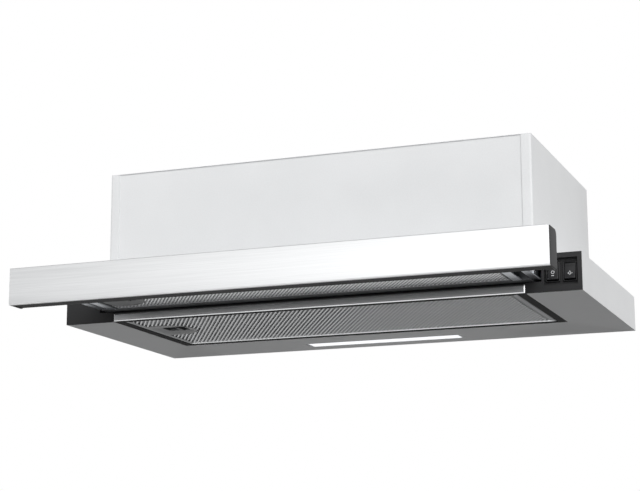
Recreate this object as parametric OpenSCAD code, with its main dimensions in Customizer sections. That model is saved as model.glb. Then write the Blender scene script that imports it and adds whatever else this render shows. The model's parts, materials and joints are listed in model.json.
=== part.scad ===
// Built-in cooker hood with a pull-out visor.
// The pieces are drawn with the lower body's front bottom edge on the X axis: +X to the viewer's right,
// +Y back to the wall, +Z up. at_mount() then moves the origin to the centre of the four cabinet screws.
// The visor is drawn pulled out.

/* [Lower body] */
// Width of the lower body
base_w = 600; // [560:5:640]
// Depth of the lower body
base_d = 285; // [280:1:310]
// Height of the lower body
base_h = 40.4; // [40:0.2:48]
// Thickness of the painted steel sheet
sheet_t = 0.8; // [0.6:0.1:1]
// Distance of the cabinet screws from the side of the body
cabinet_screw_in = 25; // [18:1:30]
// Distance of the front pair of cabinet screws from the front
cabinet_screw_front = 60; // [50:1:80]
// Distance between the front and rear cabinet screws
cabinet_screw_pitch = 170; // [150:1:190]
// Radius of a cabinet screw hole
cabinet_hole_r = 2.5; // [2:0.1:3]

/* [Upper casing] */
// Width of the casing that goes up into the cabinet
casing_w = 498.5; // [480:0.5:505]
// Height of the casing above the lower body
casing_h = 133.1; // [133:0.1:170]
// Set-back of the casing's front from the lower body's front
casing_front_y = 5.1; // [4.2:0.1:6]
// Set-back of the casing's rear from the lower body's rear
casing_rear_gap = 4.4; // [3:0.1:6]
// Width of the flanges that wrap round the front sheet
casing_flange = 11; // [8:0.5:14]

/* [Fascia] */
// Width of the full-height block at each end
block_w = 42.6; // [42:0.1:48]
// Width of the runner opening beside each block
channel_w = 17; // [17:0.1:19]
// Height of the low part under the runner opening
low_h = 11.3; // [11.3:0.1:12]
// Thickness of the fascia's front face
face_t = 2.5; // [2:0.1:3]
// Depth of the fascia blocks
block_d = 24; // [20:1:25]
// Wall of the moulded plastic pieces
wall = 2; // [1.6:0.1:2.2]
// Height of the steel trim under the visor
trim_h = 8.8; // [7:0.1:9]
// Thickness of the steel trim
trim_t = 1; // [0.8:0.1:1.2]

/* [Switches] */
// Width of the switch recess
recess_w = 35.6; // [35:0.1:36.4]
// Height of the switch recess
recess_h = 28.3; // [26:0.1:30]
// Height of the recess above the underside
recess_z = 6.7; // [5.5:0.1:7.2]
// Depth of the recess
recess_d = 5; // [4.6:0.1:5.6]
// Distance between the two switches
switch_pitch = 18; // [17:0.1:18.4]
// Width of a switch bezel
bezel_w = 15; // [15:0.1:16]
// Height of a switch bezel
bezel_h = 21; // [21:0.1:22]
// Thickness of a switch bezel
bezel_t = 2; // [1.5:0.1:2.2]
// Height of a rocker key
key_h = 17; // [15:0.1:17.2]
// Swing of a rocker to each side
key_swing = 8; // [5:0.5:8]

/* [Filters] */
// Thickness of a grease filter
filter_t = 8.5; // [8:0.1:8.6]
// Gap between a filter and what it sits in
filter_gap = 1; // [0.9:0.1:1.3]
// Width of the folded frame round the mesh
filter_border = 10; // [8:0.5:12]
// Thickness of the filter frame's aluminium
filter_sheet = 0.8; // [0.6:0.1:0.9]
// Width of the black surround at the filter's sides
surround_side = 10; // [9:0.1:11]
// Width of the black surround behind the filter
surround_rear = 7; // [6:0.1:8]
// Width of the black surround in front of the filter
surround_front = 3.2; // [3:0.1:4]
// Distance from the front to the rear of the filter cut-out
cut_back = 195.5; // [180:0.5:200]
// Pitch of the mesh's diamonds along the hood
mesh_pitch = 30; // [28:0.5:34]
// Height of a diamond as a share of its width
mesh_slant = 0.7; // [0.5:0.05:1]
// Width taken by a strand of the mesh
strand_w = 3.4; // [2.4:0.1:4]
// Radius of the filters' hinge pins
filter_pin_r = 1.4; // [1.2:0.05:1.5]
// Length of the filter handle plates across the pull
handle_w = 60; // [52:1:70]
// Reach of the latch tongue past the filter's edge
tongue_out = 3.9; // [3:0.1:4.4]
// Travel of a latch
latch_travel = 5; // [4.5:0.1:5.4]
// Distance from the front to the middle of the main filter's handle
handle_y = 82; // [70:1:110]

/* [Visor] */
// Width of the front panel
panel_w = 596; // [560:1:600]
// Height of the front panel
panel_h = 40.5; // [38:0.1:46]
// Height of the panel's lower edge above the underside
panel_z = 1.3; // [0.5:0.1:2]
// Distance from the body's front to the panel's face, pulled out
pull_out = 131.1; // [128:0.1:134]
// Thickness of the steel skin
skin_t = 0.6; // [0.5:0.1:0.8]
// Depth of the panel with its end caps
cap_d = 30.1; // [28:0.1:32]
// Radius of the rear corners of an end cap
cap_r = 6; // [4:0.5:7]
// Thickness of an end cap past the skin
cap_t = 1.8; // [1.5:0.1:2.5]
// Depth of the black carrier behind the skin
carrier_d = 23.5; // [22:0.1:25]
// Depth of the crossbar at the visor's rear
crossbar_d = 21; // [18:0.5:22]
// Reach of the crossbar behind the body's front, pulled out
crossbar_in = 9; // [6:0.5:10]
// Height of the visor tray
tray_h = 18.2; // [18:0.1:19]

/* [Runners] */
// Height of a moving runner
runner_h = 17; // [16.5:0.1:17.2]
// Width of a moving runner
runner_w = 7.5; // [7:0.1:8]
// Length of a moving runner
runner_len = 250; // [220:1:260]
// Thickness of the runners' steel
runner_t = 1.2; // [1:0.1:1.3]
// Radius of a runner ball
ball_r = 1.25; // [1.1:0.05:1.3]
// Number of balls in each row
ball_count = 8; // [4:1:10]
// Length of a ball cage
cage_len = 100; // [80:1:105]

/* [Blower] */
// Radius of the impeller
impeller_r = 50; // [46:0.5:51]
// Width of the impeller over both halves
impeller_w = 90; // [80:1:90]
// Number of blades round each half
blade_count = 32; // [24:1:36]
// Radial depth of the blades
blade_d = 8; // [7:0.5:10]
// Height of the impeller's axle above the underside
axle_z = 103; // [101:0.5:104]
// Distance of the axle behind the front
axle_y = 142; // [136:1:146]
// Gap between the impeller and the scroll at the tongue
tongue_gap = 4; // [3:0.5:5]
// Growth of the scroll's radius from tongue to outlet
scroll_growth = 18; // [14:0.5:18.5]
// Radius of the inlets
inlet_r = 36; // [32:0.5:38]
// Radius of the motor
motor_r = 28; // [24:0.5:29]
// Radius of the motor shaft
shaft_r = 3; // [2.5:0.1:4]

/* [Outlet] */
// Outer radius of the duct collar
collar_r = 60; // [60:0.5:62.5]
// Height of the duct collar
collar_h = 28; // [24:1:30]
// Radius of the flap pins
flap_pin_r = 1.5; // [1.2:0.1:1.6]
// Height of the flaps' pins above the casing
flap_z = 12; // [10:0.5:14]

/* [Lamp] */
// Length of the lamp window
lamp_w = 198; // [180:1:220]
// Depth of the lamp window
lamp_d = 23; // [20:0.5:25]
// Distance from the front to the middle of the lamp
lamp_y = 248.5; // [242:0.5:250]
// Number of light-emitting diodes
led_count = 16; // [10:1:20]

/* [Clearances] */
// Gap between fixed pieces that slot into each other
fit_gap = 0.3; // [0.2:0.05:0.4]
// Radial clearance of a running pin
run_gap = 0.05; // [0.03:0.01:0.08]

/* [Hidden] */
$fn = 48;
t = sheet_t;
cut = 1;

// Half widths, from the side of the body inwards
body_x = base_w / 2;
block_x = body_x - block_w;
channel_x = block_x - channel_w;
surround_x = channel_x - fit_gap;
window_x = surround_x - surround_side;
filter_x = window_x - filter_gap;
casing_x = casing_w / 2;
panel_x = panel_w / 2;

// Places along the depth
casing_rear_y = base_d - casing_rear_gap;
surround_rear_y = cut_back - fit_gap;
main_y0 = trim_t + surround_front + filter_gap;
main_y1 = surround_rear_y - surround_rear - filter_gap;
panel_y = -pull_out;
carrier_y = panel_y + skin_t;
carrier_rear_y = carrier_y + carrier_d;
crossbar_y = crossbar_in - crossbar_d;
front_bar_d = 4;
front_bar_y = carrier_rear_y + front_bar_d;
visor_y0 = front_bar_y + filter_gap;
visor_y1 = crossbar_y - filter_gap;

// Heights
casing_top = base_h + casing_h;
underside_gap = 0.6;
main_z = underside_gap;
tray_z = low_h + 0.7;
tray_top = tray_z + tray_h;
visor_z = tray_z + fit_gap;
lip_w = 4;
lip_t = 1.5;

// Filter hinge, seen from the filter's right-hand lower edge
hinge_in = 1.2;
hinge_up = 1.6;
hinge_reach = 2.6;

// Filter handle and latch, measured from the filter's left-hand edge
handle_x0 = filter_border + fit_gap;
handle_len = 43;
handle_x1 = handle_x0 + handle_len;
handle_r = (pow(handle_len, 2) + pow(handle_w / 2, 2)) / (2 * handle_len);
plate_t = 2;
cup_h = 7.4;
cup_wall = 1;
slider_half = 12;
slider_len = 36;
slider_t = 1.6;
slider_z = plate_t + 0.2;
finger_half = 10.5;
finger_x0 = 16;
finger_x1 = slider_len + latch_travel + 1;
finger_lip = 3;
cup_x1 = finger_x1 + cup_wall;
latch_slot = 2 * slider_half + 0.8;
tongue_z0 = slider_z - 0.5;
tongue_z1 = slider_z + slider_t + 0.5;
visor_handle_y = (visor_y0 + visor_y1) / 2;

// Runners, from the moving runner's inner face outwards
runner_x = block_x - 1.9 - runner_w;
ball_gap = ball_r * 2 + run_gap * 2;
runner_z = tray_z + 2;
race_z0 = runner_z - ball_gap;
race_z1 = runner_z + runner_h + ball_gap;
fixed_web_x = block_x - 0.1;
fixed_y0 = block_d + 2;
fixed_y1 = base_d - 15;
cage_y = fixed_y0 + 4;
cage_web_x = runner_x + runner_w + 0.5;
bracket_y0 = fixed_y0 + 4;
runner_screw_len = 11;

// Cabinet screws
cabinet_x = body_x - cabinet_screw_in;
cabinet_y = cabinet_screw_front + cabinet_screw_pitch / 2;

// Screws
screw_r = 1.9;
screw_hole_r = screw_r + run_gap;
screw_head_r = 3.6;
screw_head_h = 1.6;
foot_w = 12;
body_screw_x = casing_x - 7;
body_screw_rows = [-80, 0, 80];
front_screw_y = casing_front_y + 2 * t + 6;
front_screw_columns = [-180, 0, 180];
panel_screw_columns = [-150, -50, 50, 150];
panel_screw_z = tray_top - screw_head_r - 0.2;

// Switches
recess_x = block_x + wall + 0.6;
switch_z = recess_z + recess_h / 2;
switch_mid_x = recess_x + recess_w / 2;
fan_x = switch_mid_x - switch_pitch / 2;
light_x = switch_mid_x + switch_pitch / 2;
pivot_y = recess_d + 1.5;
key_w = bezel_w - 3.4;
key_front = 4.2;
key_dip = 1;
key_back = 2.4;
switch_wall = 0.9;
switch_inner_w = key_w + 0.4;
switch_body_w = switch_inner_w + 2 * switch_wall;
switch_inner_h = key_h + 1.4;
switch_body_h = switch_inner_h + 2 * switch_wall;
switch_depth = 15;
rocker_pin_r = 0.9;

// Blower
scroll_wall = 2;
scroll_r0 = impeller_r + tongue_gap;
scroll_r1 = scroll_r0 + scroll_growth;
tongue_a = 65;
scroll_half = impeller_w / 2 + 3;
scroll_outer = scroll_half + scroll_wall;
outlet_top = casing_top - t;
outlet_y0 = axle_y + scroll_r0 * cos(tongue_a);
outlet_y1 = axle_y + scroll_r1;
duct_y = (outlet_y0 + outlet_y1) / 2;
collar_wall = 2.5;
collar_bore = collar_r - collar_wall;
collar_flange_r = collar_r + 12;
collar_screw_r = collar_r + 6.5;
collar_flange_t = 3;
bracket_screw_r = inlet_r + 8;
bracket_arms = [90, 210, 330];
bracket_arm_half = 7;
bracket_x0 = -scroll_outer - 4;
bracket_t = 2;
shaft_x0 = -scroll_outer - 1;
shaft_x1 = 10;
motor_x0 = -scroll_outer - 2;
motor_len = 40;
boss_r = 8;
boss_h = 3;
flap_x = flap_pin_r + 0.7;
flap_t = 1.5;
flap_r = collar_bore - 1;

// Rear wall fittings
rear_wall_y = casing_rear_y - t;
capacitor_r = 14;
capacitor_h = 46;
capacitor_x = -120;
capacitor_y = rear_wall_y - capacitor_r - 2;
capacitor_up = 50;
capacitor_z = base_h + capacitor_up;
clip_z = capacitor_z + 16;
clip_h = 12;
terminal_x = -190;
terminal_half = 32;
terminal_d = 30;
terminal_h = 30;
terminal_down = 46;
terminal_z0 = casing_top - t - terminal_down;
terminal_y0 = rear_wall_y - terminal_d;
gland_x = terminal_x;
gland_y = rear_wall_y - 28;
gland_bore = 3.75;
gland_thread_r = 8;
gland_hex_r = 11.5;
gland_below = t + 7;
driver_x = 150;
driver_z = base_h + 30;
driver_half = 45;
driver_d = 24;
driver_h = 34;

// Lamp
lamp_flange = 3;
lens_t = 2.4;
lamp_tray_wall = 1.2;
lamp_tray_h = 14;
board_t = 1.6;
board_half_d = 6;
led_half = 1.7;
led_h = 0.8;

module at_mount() {
    translate([0, -cabinet_y, -base_h]) children();
}

// A block between two opposite corners
module block(low, high) {
    translate(low) cube(high - low);
}

module both_sides() {
    children();
    mirror([1, 0, 0]) children();
}

// A cylinder along X or Y from a point
module rod_x(p, r, len) {
    translate(p) rotate([0, 90, 0]) cylinder(r = r, h = len);
}

module rod_y(p, r, len) {
    translate(p) rotate([-90, 0, 0]) cylinder(r = r, h = len);
}

// An outline in Y and Z pushed along X
module along_x(x0, x1) {
    translate([x0, 0, 0]) rotate([90, 0, 90]) linear_extrude(x1 - x0) children();
}

// A screw standing head up, with the underside of its head at the origin
module screw(len) {
    translate([0, 0, -len]) cylinder(r = screw_r, h = len);
    difference() {
        cylinder(r1 = screw_head_r, r2 = screw_head_r - 0.6, h = screw_head_h);
        for (a = [0, 90]) rotate(a)
            translate([-2, -0.4, screw_head_h - 0.8]) cube([4, 0.8, cut]);
    }
}

// Places of the screws that hold the casing to the lower body
module body_screw_places() {
    for (row = body_screw_rows, side = [-1, 1])
        translate([side * body_screw_x, cabinet_y + row, base_h + t]) children();
    for (x = front_screw_columns)
        translate([x, front_screw_y, base_h + t]) children();
}

module collar_screw_places() {
    for (a = [45:90:315])
        translate([collar_screw_r * cos(a), duct_y + collar_screw_r * sin(a), casing_top]) children();
}

module bracket_screw_places() {
    for (a = bracket_arms)
        translate([-scroll_outer, axle_y + bracket_screw_r * cos(a), axle_z + bracket_screw_r * sin(a)])
            rotate([0, -90, 0]) children();
}

// Lower body: folded sheet with the filter and lamp cut-outs and the ledge that meets the cabinet
module base_pan() at_mount() color("#dcdddf") difference() {
    ledge_lip_y = casing_front_y + 2 * t + foot_w;
    rear_ledge = 6;
    lip_above_tray = 2;
    union() {
        block([-body_x, face_t, 0], [body_x, base_d, t]);
        both_sides() block([body_x - t, face_t, 0], [body_x, base_d, base_h]);
        block([-body_x, base_d - t, 0], [body_x, base_d, base_h]);
        difference() {
            block([-body_x, face_t, base_h - t], [body_x, base_d, base_h]);
            block([-casing_x + foot_w + t, ledge_lip_y, base_h - t - cut],
                  [casing_x - foot_w - t, casing_rear_y - rear_ledge, base_h + cut]);
        }
        // Lip that closes the gap above the visor
        block([-channel_x, ledge_lip_y - t, tray_top + lip_above_tray], [channel_x, ledge_lip_y, base_h]);
    }
    block([-channel_x, face_t - cut, -cut], [channel_x, cut_back, t + cut]);
    block([-lamp_w / 2, lamp_y - lamp_d / 2, -cut], [lamp_w / 2, lamp_y + lamp_d / 2, t + cut]);
    for (x = [-1, 1], y = [-1, 1])
        translate([x * cabinet_x, cabinet_y + y * cabinet_screw_pitch / 2, base_h - t - cut])
            cylinder(r = cabinet_hole_r, h = t + 2 * cut);
    body_screw_places() translate([0, 0, -2 * t - cut]) cylinder(r = screw_hole_r, h = 2 * t + 2 * cut);
}

// End block of the fascia with the low part under the runner opening, for the right-hand side
module fascia_blank() {
    low_z = t + fit_gap;
    block([block_x, 0, 0], [body_x, face_t, base_h]);
    block([channel_x, 0, 0], [block_x + cut, face_t, low_h]);
    difference() {
        block([block_x, face_t - cut, low_z], [body_x - t - fit_gap, block_d, base_h - t - fit_gap]);
        block([block_x + wall, face_t, low_z + wall],
              [body_x - t - fit_gap - wall, block_d + cut, base_h - t - fit_gap - wall]);
    }
    difference() {
        block([channel_x + fit_gap, face_t - cut, low_z], [block_x + cut, block_d, low_h]);
        block([channel_x + fit_gap + wall, face_t, low_z + wall], [block_x, block_d + cut, low_h - wall]);
    }
}

module fascia_left() at_mount() color("#323234") mirror([1, 0, 0]) fascia_blank();

// The right-hand block carries the switches in a recess
module fascia_right() at_mount() color("#323234") difference() {
    union() {
        fascia_blank();
        block([recess_x - wall, 0, recess_z - wall],
              [recess_x + recess_w + wall, recess_d + wall, recess_z + recess_h + wall]);
    }
    block([recess_x, -cut, recess_z], [recess_x + recess_w, recess_d, recess_z + recess_h]);
    hole_x = (switch_body_w + fit_gap) / 2;
    hole_z = (switch_body_h + fit_gap) / 2;
    for (x = [fan_x, light_x])
        block([x - hole_x, recess_d - cut, switch_z - hole_z],
              [x + hole_x, recess_d + wall + cut, switch_z + hole_z]);
}

// Rocker switch: bezel, hollow body with bores for the rocker's pins, and three terminals
module switch_body(x) {
    bezel_y = recess_d - bezel_t;
    back_y = recess_d + switch_depth;
    back_wall = 4;
    tab_half_w = 2.4;
    tab_half_t = 0.4;
    tab_len = 7;
    difference() {
        union() {
            block([x - bezel_w / 2, bezel_y, switch_z - bezel_h / 2],
                  [x + bezel_w / 2, recess_d, switch_z + bezel_h / 2]);
            block([x - switch_body_w / 2, recess_d - cut, switch_z - switch_body_h / 2],
                  [x + switch_body_w / 2, back_y, switch_z + switch_body_h / 2]);
        }
        block([x - switch_inner_w / 2, bezel_y - cut, switch_z - switch_inner_h / 2],
              [x + switch_inner_w / 2, back_y - back_wall, switch_z + switch_inner_h / 2]);
        rod_x([x - switch_body_w, pivot_y, switch_z], rocker_pin_r + run_gap, 2 * switch_body_w);
    }
    for (z = [-6:6:6])
        block([x - tab_half_w, back_y - cut, switch_z + z - tab_half_t],
              [x + tab_half_w, back_y + tab_len, switch_z + z + tab_half_t]);
}

module fan_switch_body() at_mount() color("#2a2a2c") switch_body(fan_x);

module light_switch_body() at_mount() color("#2a2a2c") switch_body(light_x);

// Rocker key with a dip across its face, drawn with its lower half out
module rocker(x) {
    edge_y = 3 - key_front;
    nose = 2;
    pin_half = switch_body_w / 2 - 0.2;
    translate([0, pivot_y, switch_z]) rotate([-key_swing, 0, 0]) {
        along_x(x - key_w / 2, x + key_w / 2)
            polygon([[-key_front, -key_h / 2], [-key_front + key_dip, 0], [-key_front, key_h / 2],
                     [edge_y, key_h / 2], [key_back, nose], [key_back, -nose], [edge_y, -key_h / 2]]);
        rod_x([x - pin_half, 0, 0], rocker_pin_r, 2 * pin_half);
    }
}

module fan_rocker() at_mount() color("#3a3a3c") rocker(fan_x);

module light_rocker() at_mount() color("#3a3a3c") rocker(light_x);

// Steel trim in front of the main filter, with a raised rim
module front_trim() at_mount() color("#a9abad") {
    x = channel_x - 0.9;
    z0 = 0.5;
    rim = 0.7;
    sunk = 0.25;
    difference() {
        block([-x, 0, z0], [x, trim_t, z0 + trim_h]);
        block([-x + rim, -cut, z0 + rim], [x - rim, sunk, z0 + trim_h - rim]);
    }
}

// Black surround that the main filter sits in
module filter_surround() at_mount() color("#2c2c2e") difference() {
    top_z = main_z + filter_t + fit_gap;
    rear_inner = main_y1 + filter_gap;
    front_inner = main_y0 - filter_gap;
    flange_t = 1.6;
    flange_w = 6;
    union() {
        block([-surround_x, trim_t, fit_gap], [surround_x, surround_rear_y, top_z + lip_t]);
        // Flange that rests on the bottom plate
        block([-surround_x - flange_w, block_d + fit_gap, t],
              [surround_x + flange_w, surround_rear_y + flange_w, t + flange_t]);
    }
    block([-window_x, front_inner, -cut], [window_x, rear_inner, top_z]);
    block([-window_x + lip_w, front_inner + lip_w, -cut],
          [window_x - lip_w, rear_inner - lip_w, top_z + lip_t + cut]);
    // Slot for the latch tongue
    block([-window_x - tongue_out, handle_y - latch_slot / 2, main_z + tongue_z0],
          [-window_x + cut, handle_y + latch_slot / 2, main_z + tongue_z1]);
    // Bores for the hinge pins
    for (y = [front_inner - hinge_reach, rear_inner - cut])
        rod_y([filter_x - hinge_in, y, main_z + hinge_up], filter_pin_r + run_gap, hinge_reach + cut);
}

// Upper casing: top, back and sides of one folded sheet, with flanges round the front and feet below
module casing_shell() at_mount() color("#e9eaeb") difference() {
    foot_y = casing_front_y + t;
    union() {
        block([-casing_x, casing_front_y, casing_top - t], [casing_x, casing_rear_y, casing_top]);
        block([-casing_x, casing_rear_y - t, base_h], [casing_x, casing_rear_y, casing_top]);
        both_sides() {
            block([casing_x - t, casing_front_y, base_h], [casing_x, casing_rear_y, casing_top]);
            block([casing_x - casing_flange, casing_front_y, base_h], [casing_x, foot_y, casing_top]);
            block([casing_x - foot_w, foot_y + t + foot_w + 1, base_h], [casing_x, casing_rear_y, base_h + t]);
        }
    }
    translate([0, duct_y, casing_top - t - cut]) cylinder(r = collar_bore, h = t + 2 * cut);
    translate([gland_x, gland_y, casing_top - t - cut]) cylinder(r = gland_thread_r + run_gap, h = t + 2 * cut);
    body_screw_places() translate([0, 0, -t - cut]) cylinder(r = screw_hole_r, h = t + 2 * cut);
    collar_screw_places() translate([0, 0, -t - cut]) cylinder(r = screw_hole_r, h = t + 2 * cut);
}

// Front sheet behind the side flanges, with a foot and a return under the top
module casing_front() at_mount() color("#e9eaeb") {
    x = casing_x - t - fit_gap;
    y = casing_front_y + t;
    difference() {
        union() {
            block([-x, y, base_h], [x, y + t, casing_top - t]);
            block([-x, y, base_h], [x, y + t + foot_w, base_h + t]);
            block([-x, y, casing_top - 2 * t], [x, y + t + foot_w, casing_top - t]);
        }
        body_screw_places() translate([0, 0, -t - cut]) cylinder(r = screw_hole_r, h = t + 2 * cut);
    }
}

// Duct collar with a seat ring for the two flaps
module duct_collar() at_mount() color("#2e2e30") translate([0, duct_y, casing_top]) difference() {
    seat_z = flap_z - flap_pin_r - fit_gap;
    seat_w = 3;
    pin_end = collar_bore + 1.6;
    union() {
        cylinder(r = collar_flange_r, h = collar_flange_t, $fn = 96);
        cylinder(r = collar_r, h = collar_h, $fn = 96);
    }
    translate([0, 0, seat_z]) cylinder(r = collar_bore, h = collar_h, $fn = 96);
    translate([0, 0, -cut]) cylinder(r = collar_bore - seat_w, h = collar_h, $fn = 96);
    for (x = [-flap_x, flap_x]) rod_y([x, -pin_end, flap_z], flap_pin_r + run_gap, 2 * pin_end);
    for (a = [45:90:315]) rotate(a)
        translate([collar_screw_r, 0, -cut]) cylinder(r = screw_hole_r, h = collar_flange_t + 2 * cut);
}

// Half-round flap with its pin, for the right-hand side
module flap() translate([0, duct_y, casing_top + flap_z]) {
    pin_end = collar_bore + 1.2;
    intersection() {
        translate([0, 0, -flap_pin_r]) cylinder(r = flap_r, h = flap_t, $fn = 96);
        block([flap_x, -flap_r, -flap_pin_r], [flap_r, flap_r, flap_t]);
    }
    rod_y([flap_x, -pin_end, 0], flap_pin_r, 2 * pin_end);
}

module flap_left() at_mount() color("#4a4a4c") mirror([1, 0, 0]) flap();

module flap_right() at_mount() color("#4a4a4c") flap();

// Bracket that carries the fixed runner, with a foot on the bottom plate
module runner_bracket() {
    x = fixed_web_x + runner_t;
    block([x, bracket_y0, t], [x + runner_t, fixed_y1, base_h - t]);
    block([x, bracket_y0, t], [x + foot_w, fixed_y1, t + runner_t]);
}

module runner_bracket_left() at_mount() color("#b8babc") mirror([1, 0, 0]) runner_bracket();

module runner_bracket_right() at_mount() color("#b8babc") runner_bracket();

// Fixed runner: a channel open towards the middle
module runner_fixed() {
    edge_x = runner_x + 2;
    block([fixed_web_x, fixed_y0, race_z0 - runner_t], [fixed_web_x + runner_t, fixed_y1, race_z1 + runner_t]);
    for (z = [race_z0 - runner_t, race_z1])
        block([edge_x, fixed_y0, z], [fixed_web_x + runner_t, fixed_y1, z + runner_t]);
}

module runner_left_fixed() at_mount() color("#c4c6c8") mirror([1, 0, 0]) runner_fixed();

module runner_right_fixed() at_mount() color("#c4c6c8") runner_fixed();

// Ball cage: two strips with their balls, joined by a web between the runners
module ball_cage() {
    strip_t = 0.8;
    strip_x = runner_x + 2.6;
    end_gap = 6;
    ball_pitch = (cage_len - 2 * end_gap) / (ball_count - 1);
    ball_x = runner_x + runner_w / 2 + 1;
    rows = [runner_z - ball_gap / 2, runner_z + runner_h + ball_gap / 2];
    for (z = rows) {
        block([strip_x, cage_y, z - strip_t / 2], [cage_web_x + strip_t, cage_y + cage_len, z + strip_t / 2]);
        for (i = [0:ball_count - 1])
            translate([ball_x, cage_y + end_gap + i * ball_pitch, z]) sphere(ball_r, $fn = 24);
    }
    block([cage_web_x, cage_y, rows[0] - strip_t / 2],
          [cage_web_x + strip_t, cage_y + cage_len, rows[1] + strip_t / 2]);
}

module ball_cage_left() at_mount() color("#8d8f91") mirror([1, 0, 0]) ball_cage();

module ball_cage_right() at_mount() color("#8d8f91") ball_cage();

// Moving runner: a channel open outwards, screwed to the crossbar
module runner_moving() difference() {
    y1 = carrier_rear_y + runner_len;
    union() {
        block([runner_x, carrier_rear_y, runner_z], [runner_x + runner_t, y1, runner_z + runner_h]);
        for (z = [runner_z, runner_z + runner_h - runner_t])
            block([runner_x, carrier_rear_y, z], [runner_x + runner_w, y1, z + runner_t]);
    }
    runner_screw_place() translate([0, 0, -cut - runner_t]) cylinder(r = screw_hole_r, h = runner_t + 2 * cut);
}

// Place of the screw through the moving runner into the crossbar, head outwards
module runner_screw_place() {
    translate([runner_x + runner_t, crossbar_y + crossbar_d / 2, runner_z + runner_h / 2])
        rotate([0, 90, 0]) children();
}

module runner_left_moving() at_mount() color("#d2d4d6") mirror([1, 0, 0]) runner_moving();

module runner_right_moving() at_mount() color("#d2d4d6") runner_moving();

// Outline of the front panel in Y and Z: the front corners are folds, the rear corners are square
module panel_outline(depth, inset) {
    fold_r = 1.4;
    y0 = panel_y + inset;
    y1 = panel_y + depth;
    z0 = panel_z + inset;
    z1 = panel_z + panel_h - inset;
    r = fold_r - inset;
    translate([y0 + r, z0]) square([y1 - y0 - r, z1 - z0]);
    translate([y0, z0 + r]) square([y1 - y0, z1 - z0 - 2 * r]);
    for (z = [z0 + r, z1 - r]) translate([y0 + r, z]) circle(r);
}

// Brushed steel skin folded over the carrier's top and under its front edge
module front_panel() at_mount() color("#d6d8da") along_x(-panel_x + cap_t, panel_x - cap_t) difference() {
    panel_outline(skin_t + carrier_d, 0);
    hem = 3.2;
    panel_outline(skin_t + carrier_d + cut, skin_t);
    translate([panel_y + hem, panel_z - cut]) square([carrier_d, 2 * cut]);
}

// Hollow black carrier behind the skin
module panel_carrier() at_mount() color("#353536") difference() {
    along_x(-panel_x + cap_t, panel_x - cap_t) difference() {
        panel_outline(skin_t + carrier_d, skin_t);
        translate([carrier_y + wall, panel_z + skin_t + wall])
            square([carrier_d - 2 * wall, panel_h - 2 * skin_t - 2 * wall]);
    }
    for (x = panel_screw_columns)
        rod_y([x, carrier_rear_y - wall - cut, panel_screw_z], screw_hole_r, wall + 2 * cut);
}

// Moulded end cap with a plug in the carrier's hollow, for the right-hand side
module end_cap() {
    plug = wall + fit_gap;
    plug_len = 10;
    along_x(panel_x - cap_t, panel_x) {
        panel_outline(cap_d - cap_r, 0);
        translate([panel_y + cap_d - 2 * cap_r, panel_z + cap_r]) square([2 * cap_r, panel_h - 2 * cap_r]);
        for (z = [panel_z + cap_r, panel_z + panel_h - cap_r])
            translate([panel_y + cap_d - cap_r, z]) circle(cap_r);
    }
    block([panel_x - cap_t - plug_len, carrier_y + plug, panel_z + skin_t + plug],
          [panel_x - cap_t, carrier_rear_y - plug, panel_z + panel_h - skin_t - plug]);
}

module end_cap_left() at_mount() color("#4b4b4d") mirror([1, 0, 0]) end_cap();

module end_cap_right() at_mount() color("#4b4b4d") end_cap();

// Side arm of the visor: an angle between the carrier and the crossbar
module visor_arm() {
    arm_t = 1.2;
    block([window_x, carrier_rear_y, tray_z], [channel_x - 0.9, crossbar_y, tray_z + arm_t]);
    block([window_x, carrier_rear_y, tray_z], [window_x + arm_t, crossbar_y, tray_top]);
}

// The left-hand arm has the slot for the latch tongue
module visor_arm_left() at_mount() color("#b9bbbe") difference() {
    mirror([1, 0, 0]) visor_arm();
    block([-window_x - 2, visor_handle_y - latch_slot / 2, visor_z + tongue_z0],
          [-window_x + cut, visor_handle_y + latch_slot / 2, visor_z + tongue_z1]);
}

module visor_arm_right() at_mount() color("#b9bbbe") visor_arm();

module visor_hinge_bore(y) {
    rod_y([filter_x - hinge_in, y, visor_z + hinge_up], filter_pin_r + run_gap, hinge_reach + cut);
}

// Bar behind the carrier with the front bore of the visor filter's hinge
module visor_front_bar() at_mount() color("#303032") difference() {
    lip_z = visor_z + filter_t + fit_gap;
    union() {
        block([-window_x, carrier_rear_y, tray_z], [window_x, front_bar_y, tray_top]);
        block([-window_x, carrier_rear_y, lip_z], [window_x, front_bar_y + lip_w, lip_z + lip_t]);
    }
    visor_hinge_bore(front_bar_y - hinge_reach);
    for (x = panel_screw_columns)
        rod_y([x, carrier_rear_y - cut, panel_screw_z], screw_hole_r, front_bar_d + 2 * cut);
}

// Crossbar between the runners, with windows that let the air through
module visor_crossbar() at_mount() color("#303032") difference() {
    x = runner_x;
    window_z = visor_z + filter_t + fit_gap + lip_t;
    windows = 8;
    pitch = 2 * channel_x / windows;
    union() {
        block([-x, crossbar_y, tray_z], [x, crossbar_in, tray_top]);
        block([-window_x, crossbar_y - lip_w, window_z - lip_t], [window_x, crossbar_y + cut, window_z]);
    }
    for (i = [0:windows - 1]) translate([-channel_x + i * pitch, 0, 0])
        block([wall, crossbar_y - cut, window_z], [pitch - wall, crossbar_in + cut, tray_top - wall]);
    visor_hinge_bore(crossbar_y - cut);
    both_sides() runner_screw_place() translate([0, 0, -runner_screw_len - cut])
        cylinder(r = screw_hole_r, h = runner_screw_len + cut);
}

// Steel sheet that closes the visor from above
module visor_cover() at_mount() color("#d4d6d8") {
    block([-runner_x + fit_gap, carrier_rear_y, tray_top], [runner_x - fit_gap, crossbar_in, tray_top + t]);
}

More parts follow.
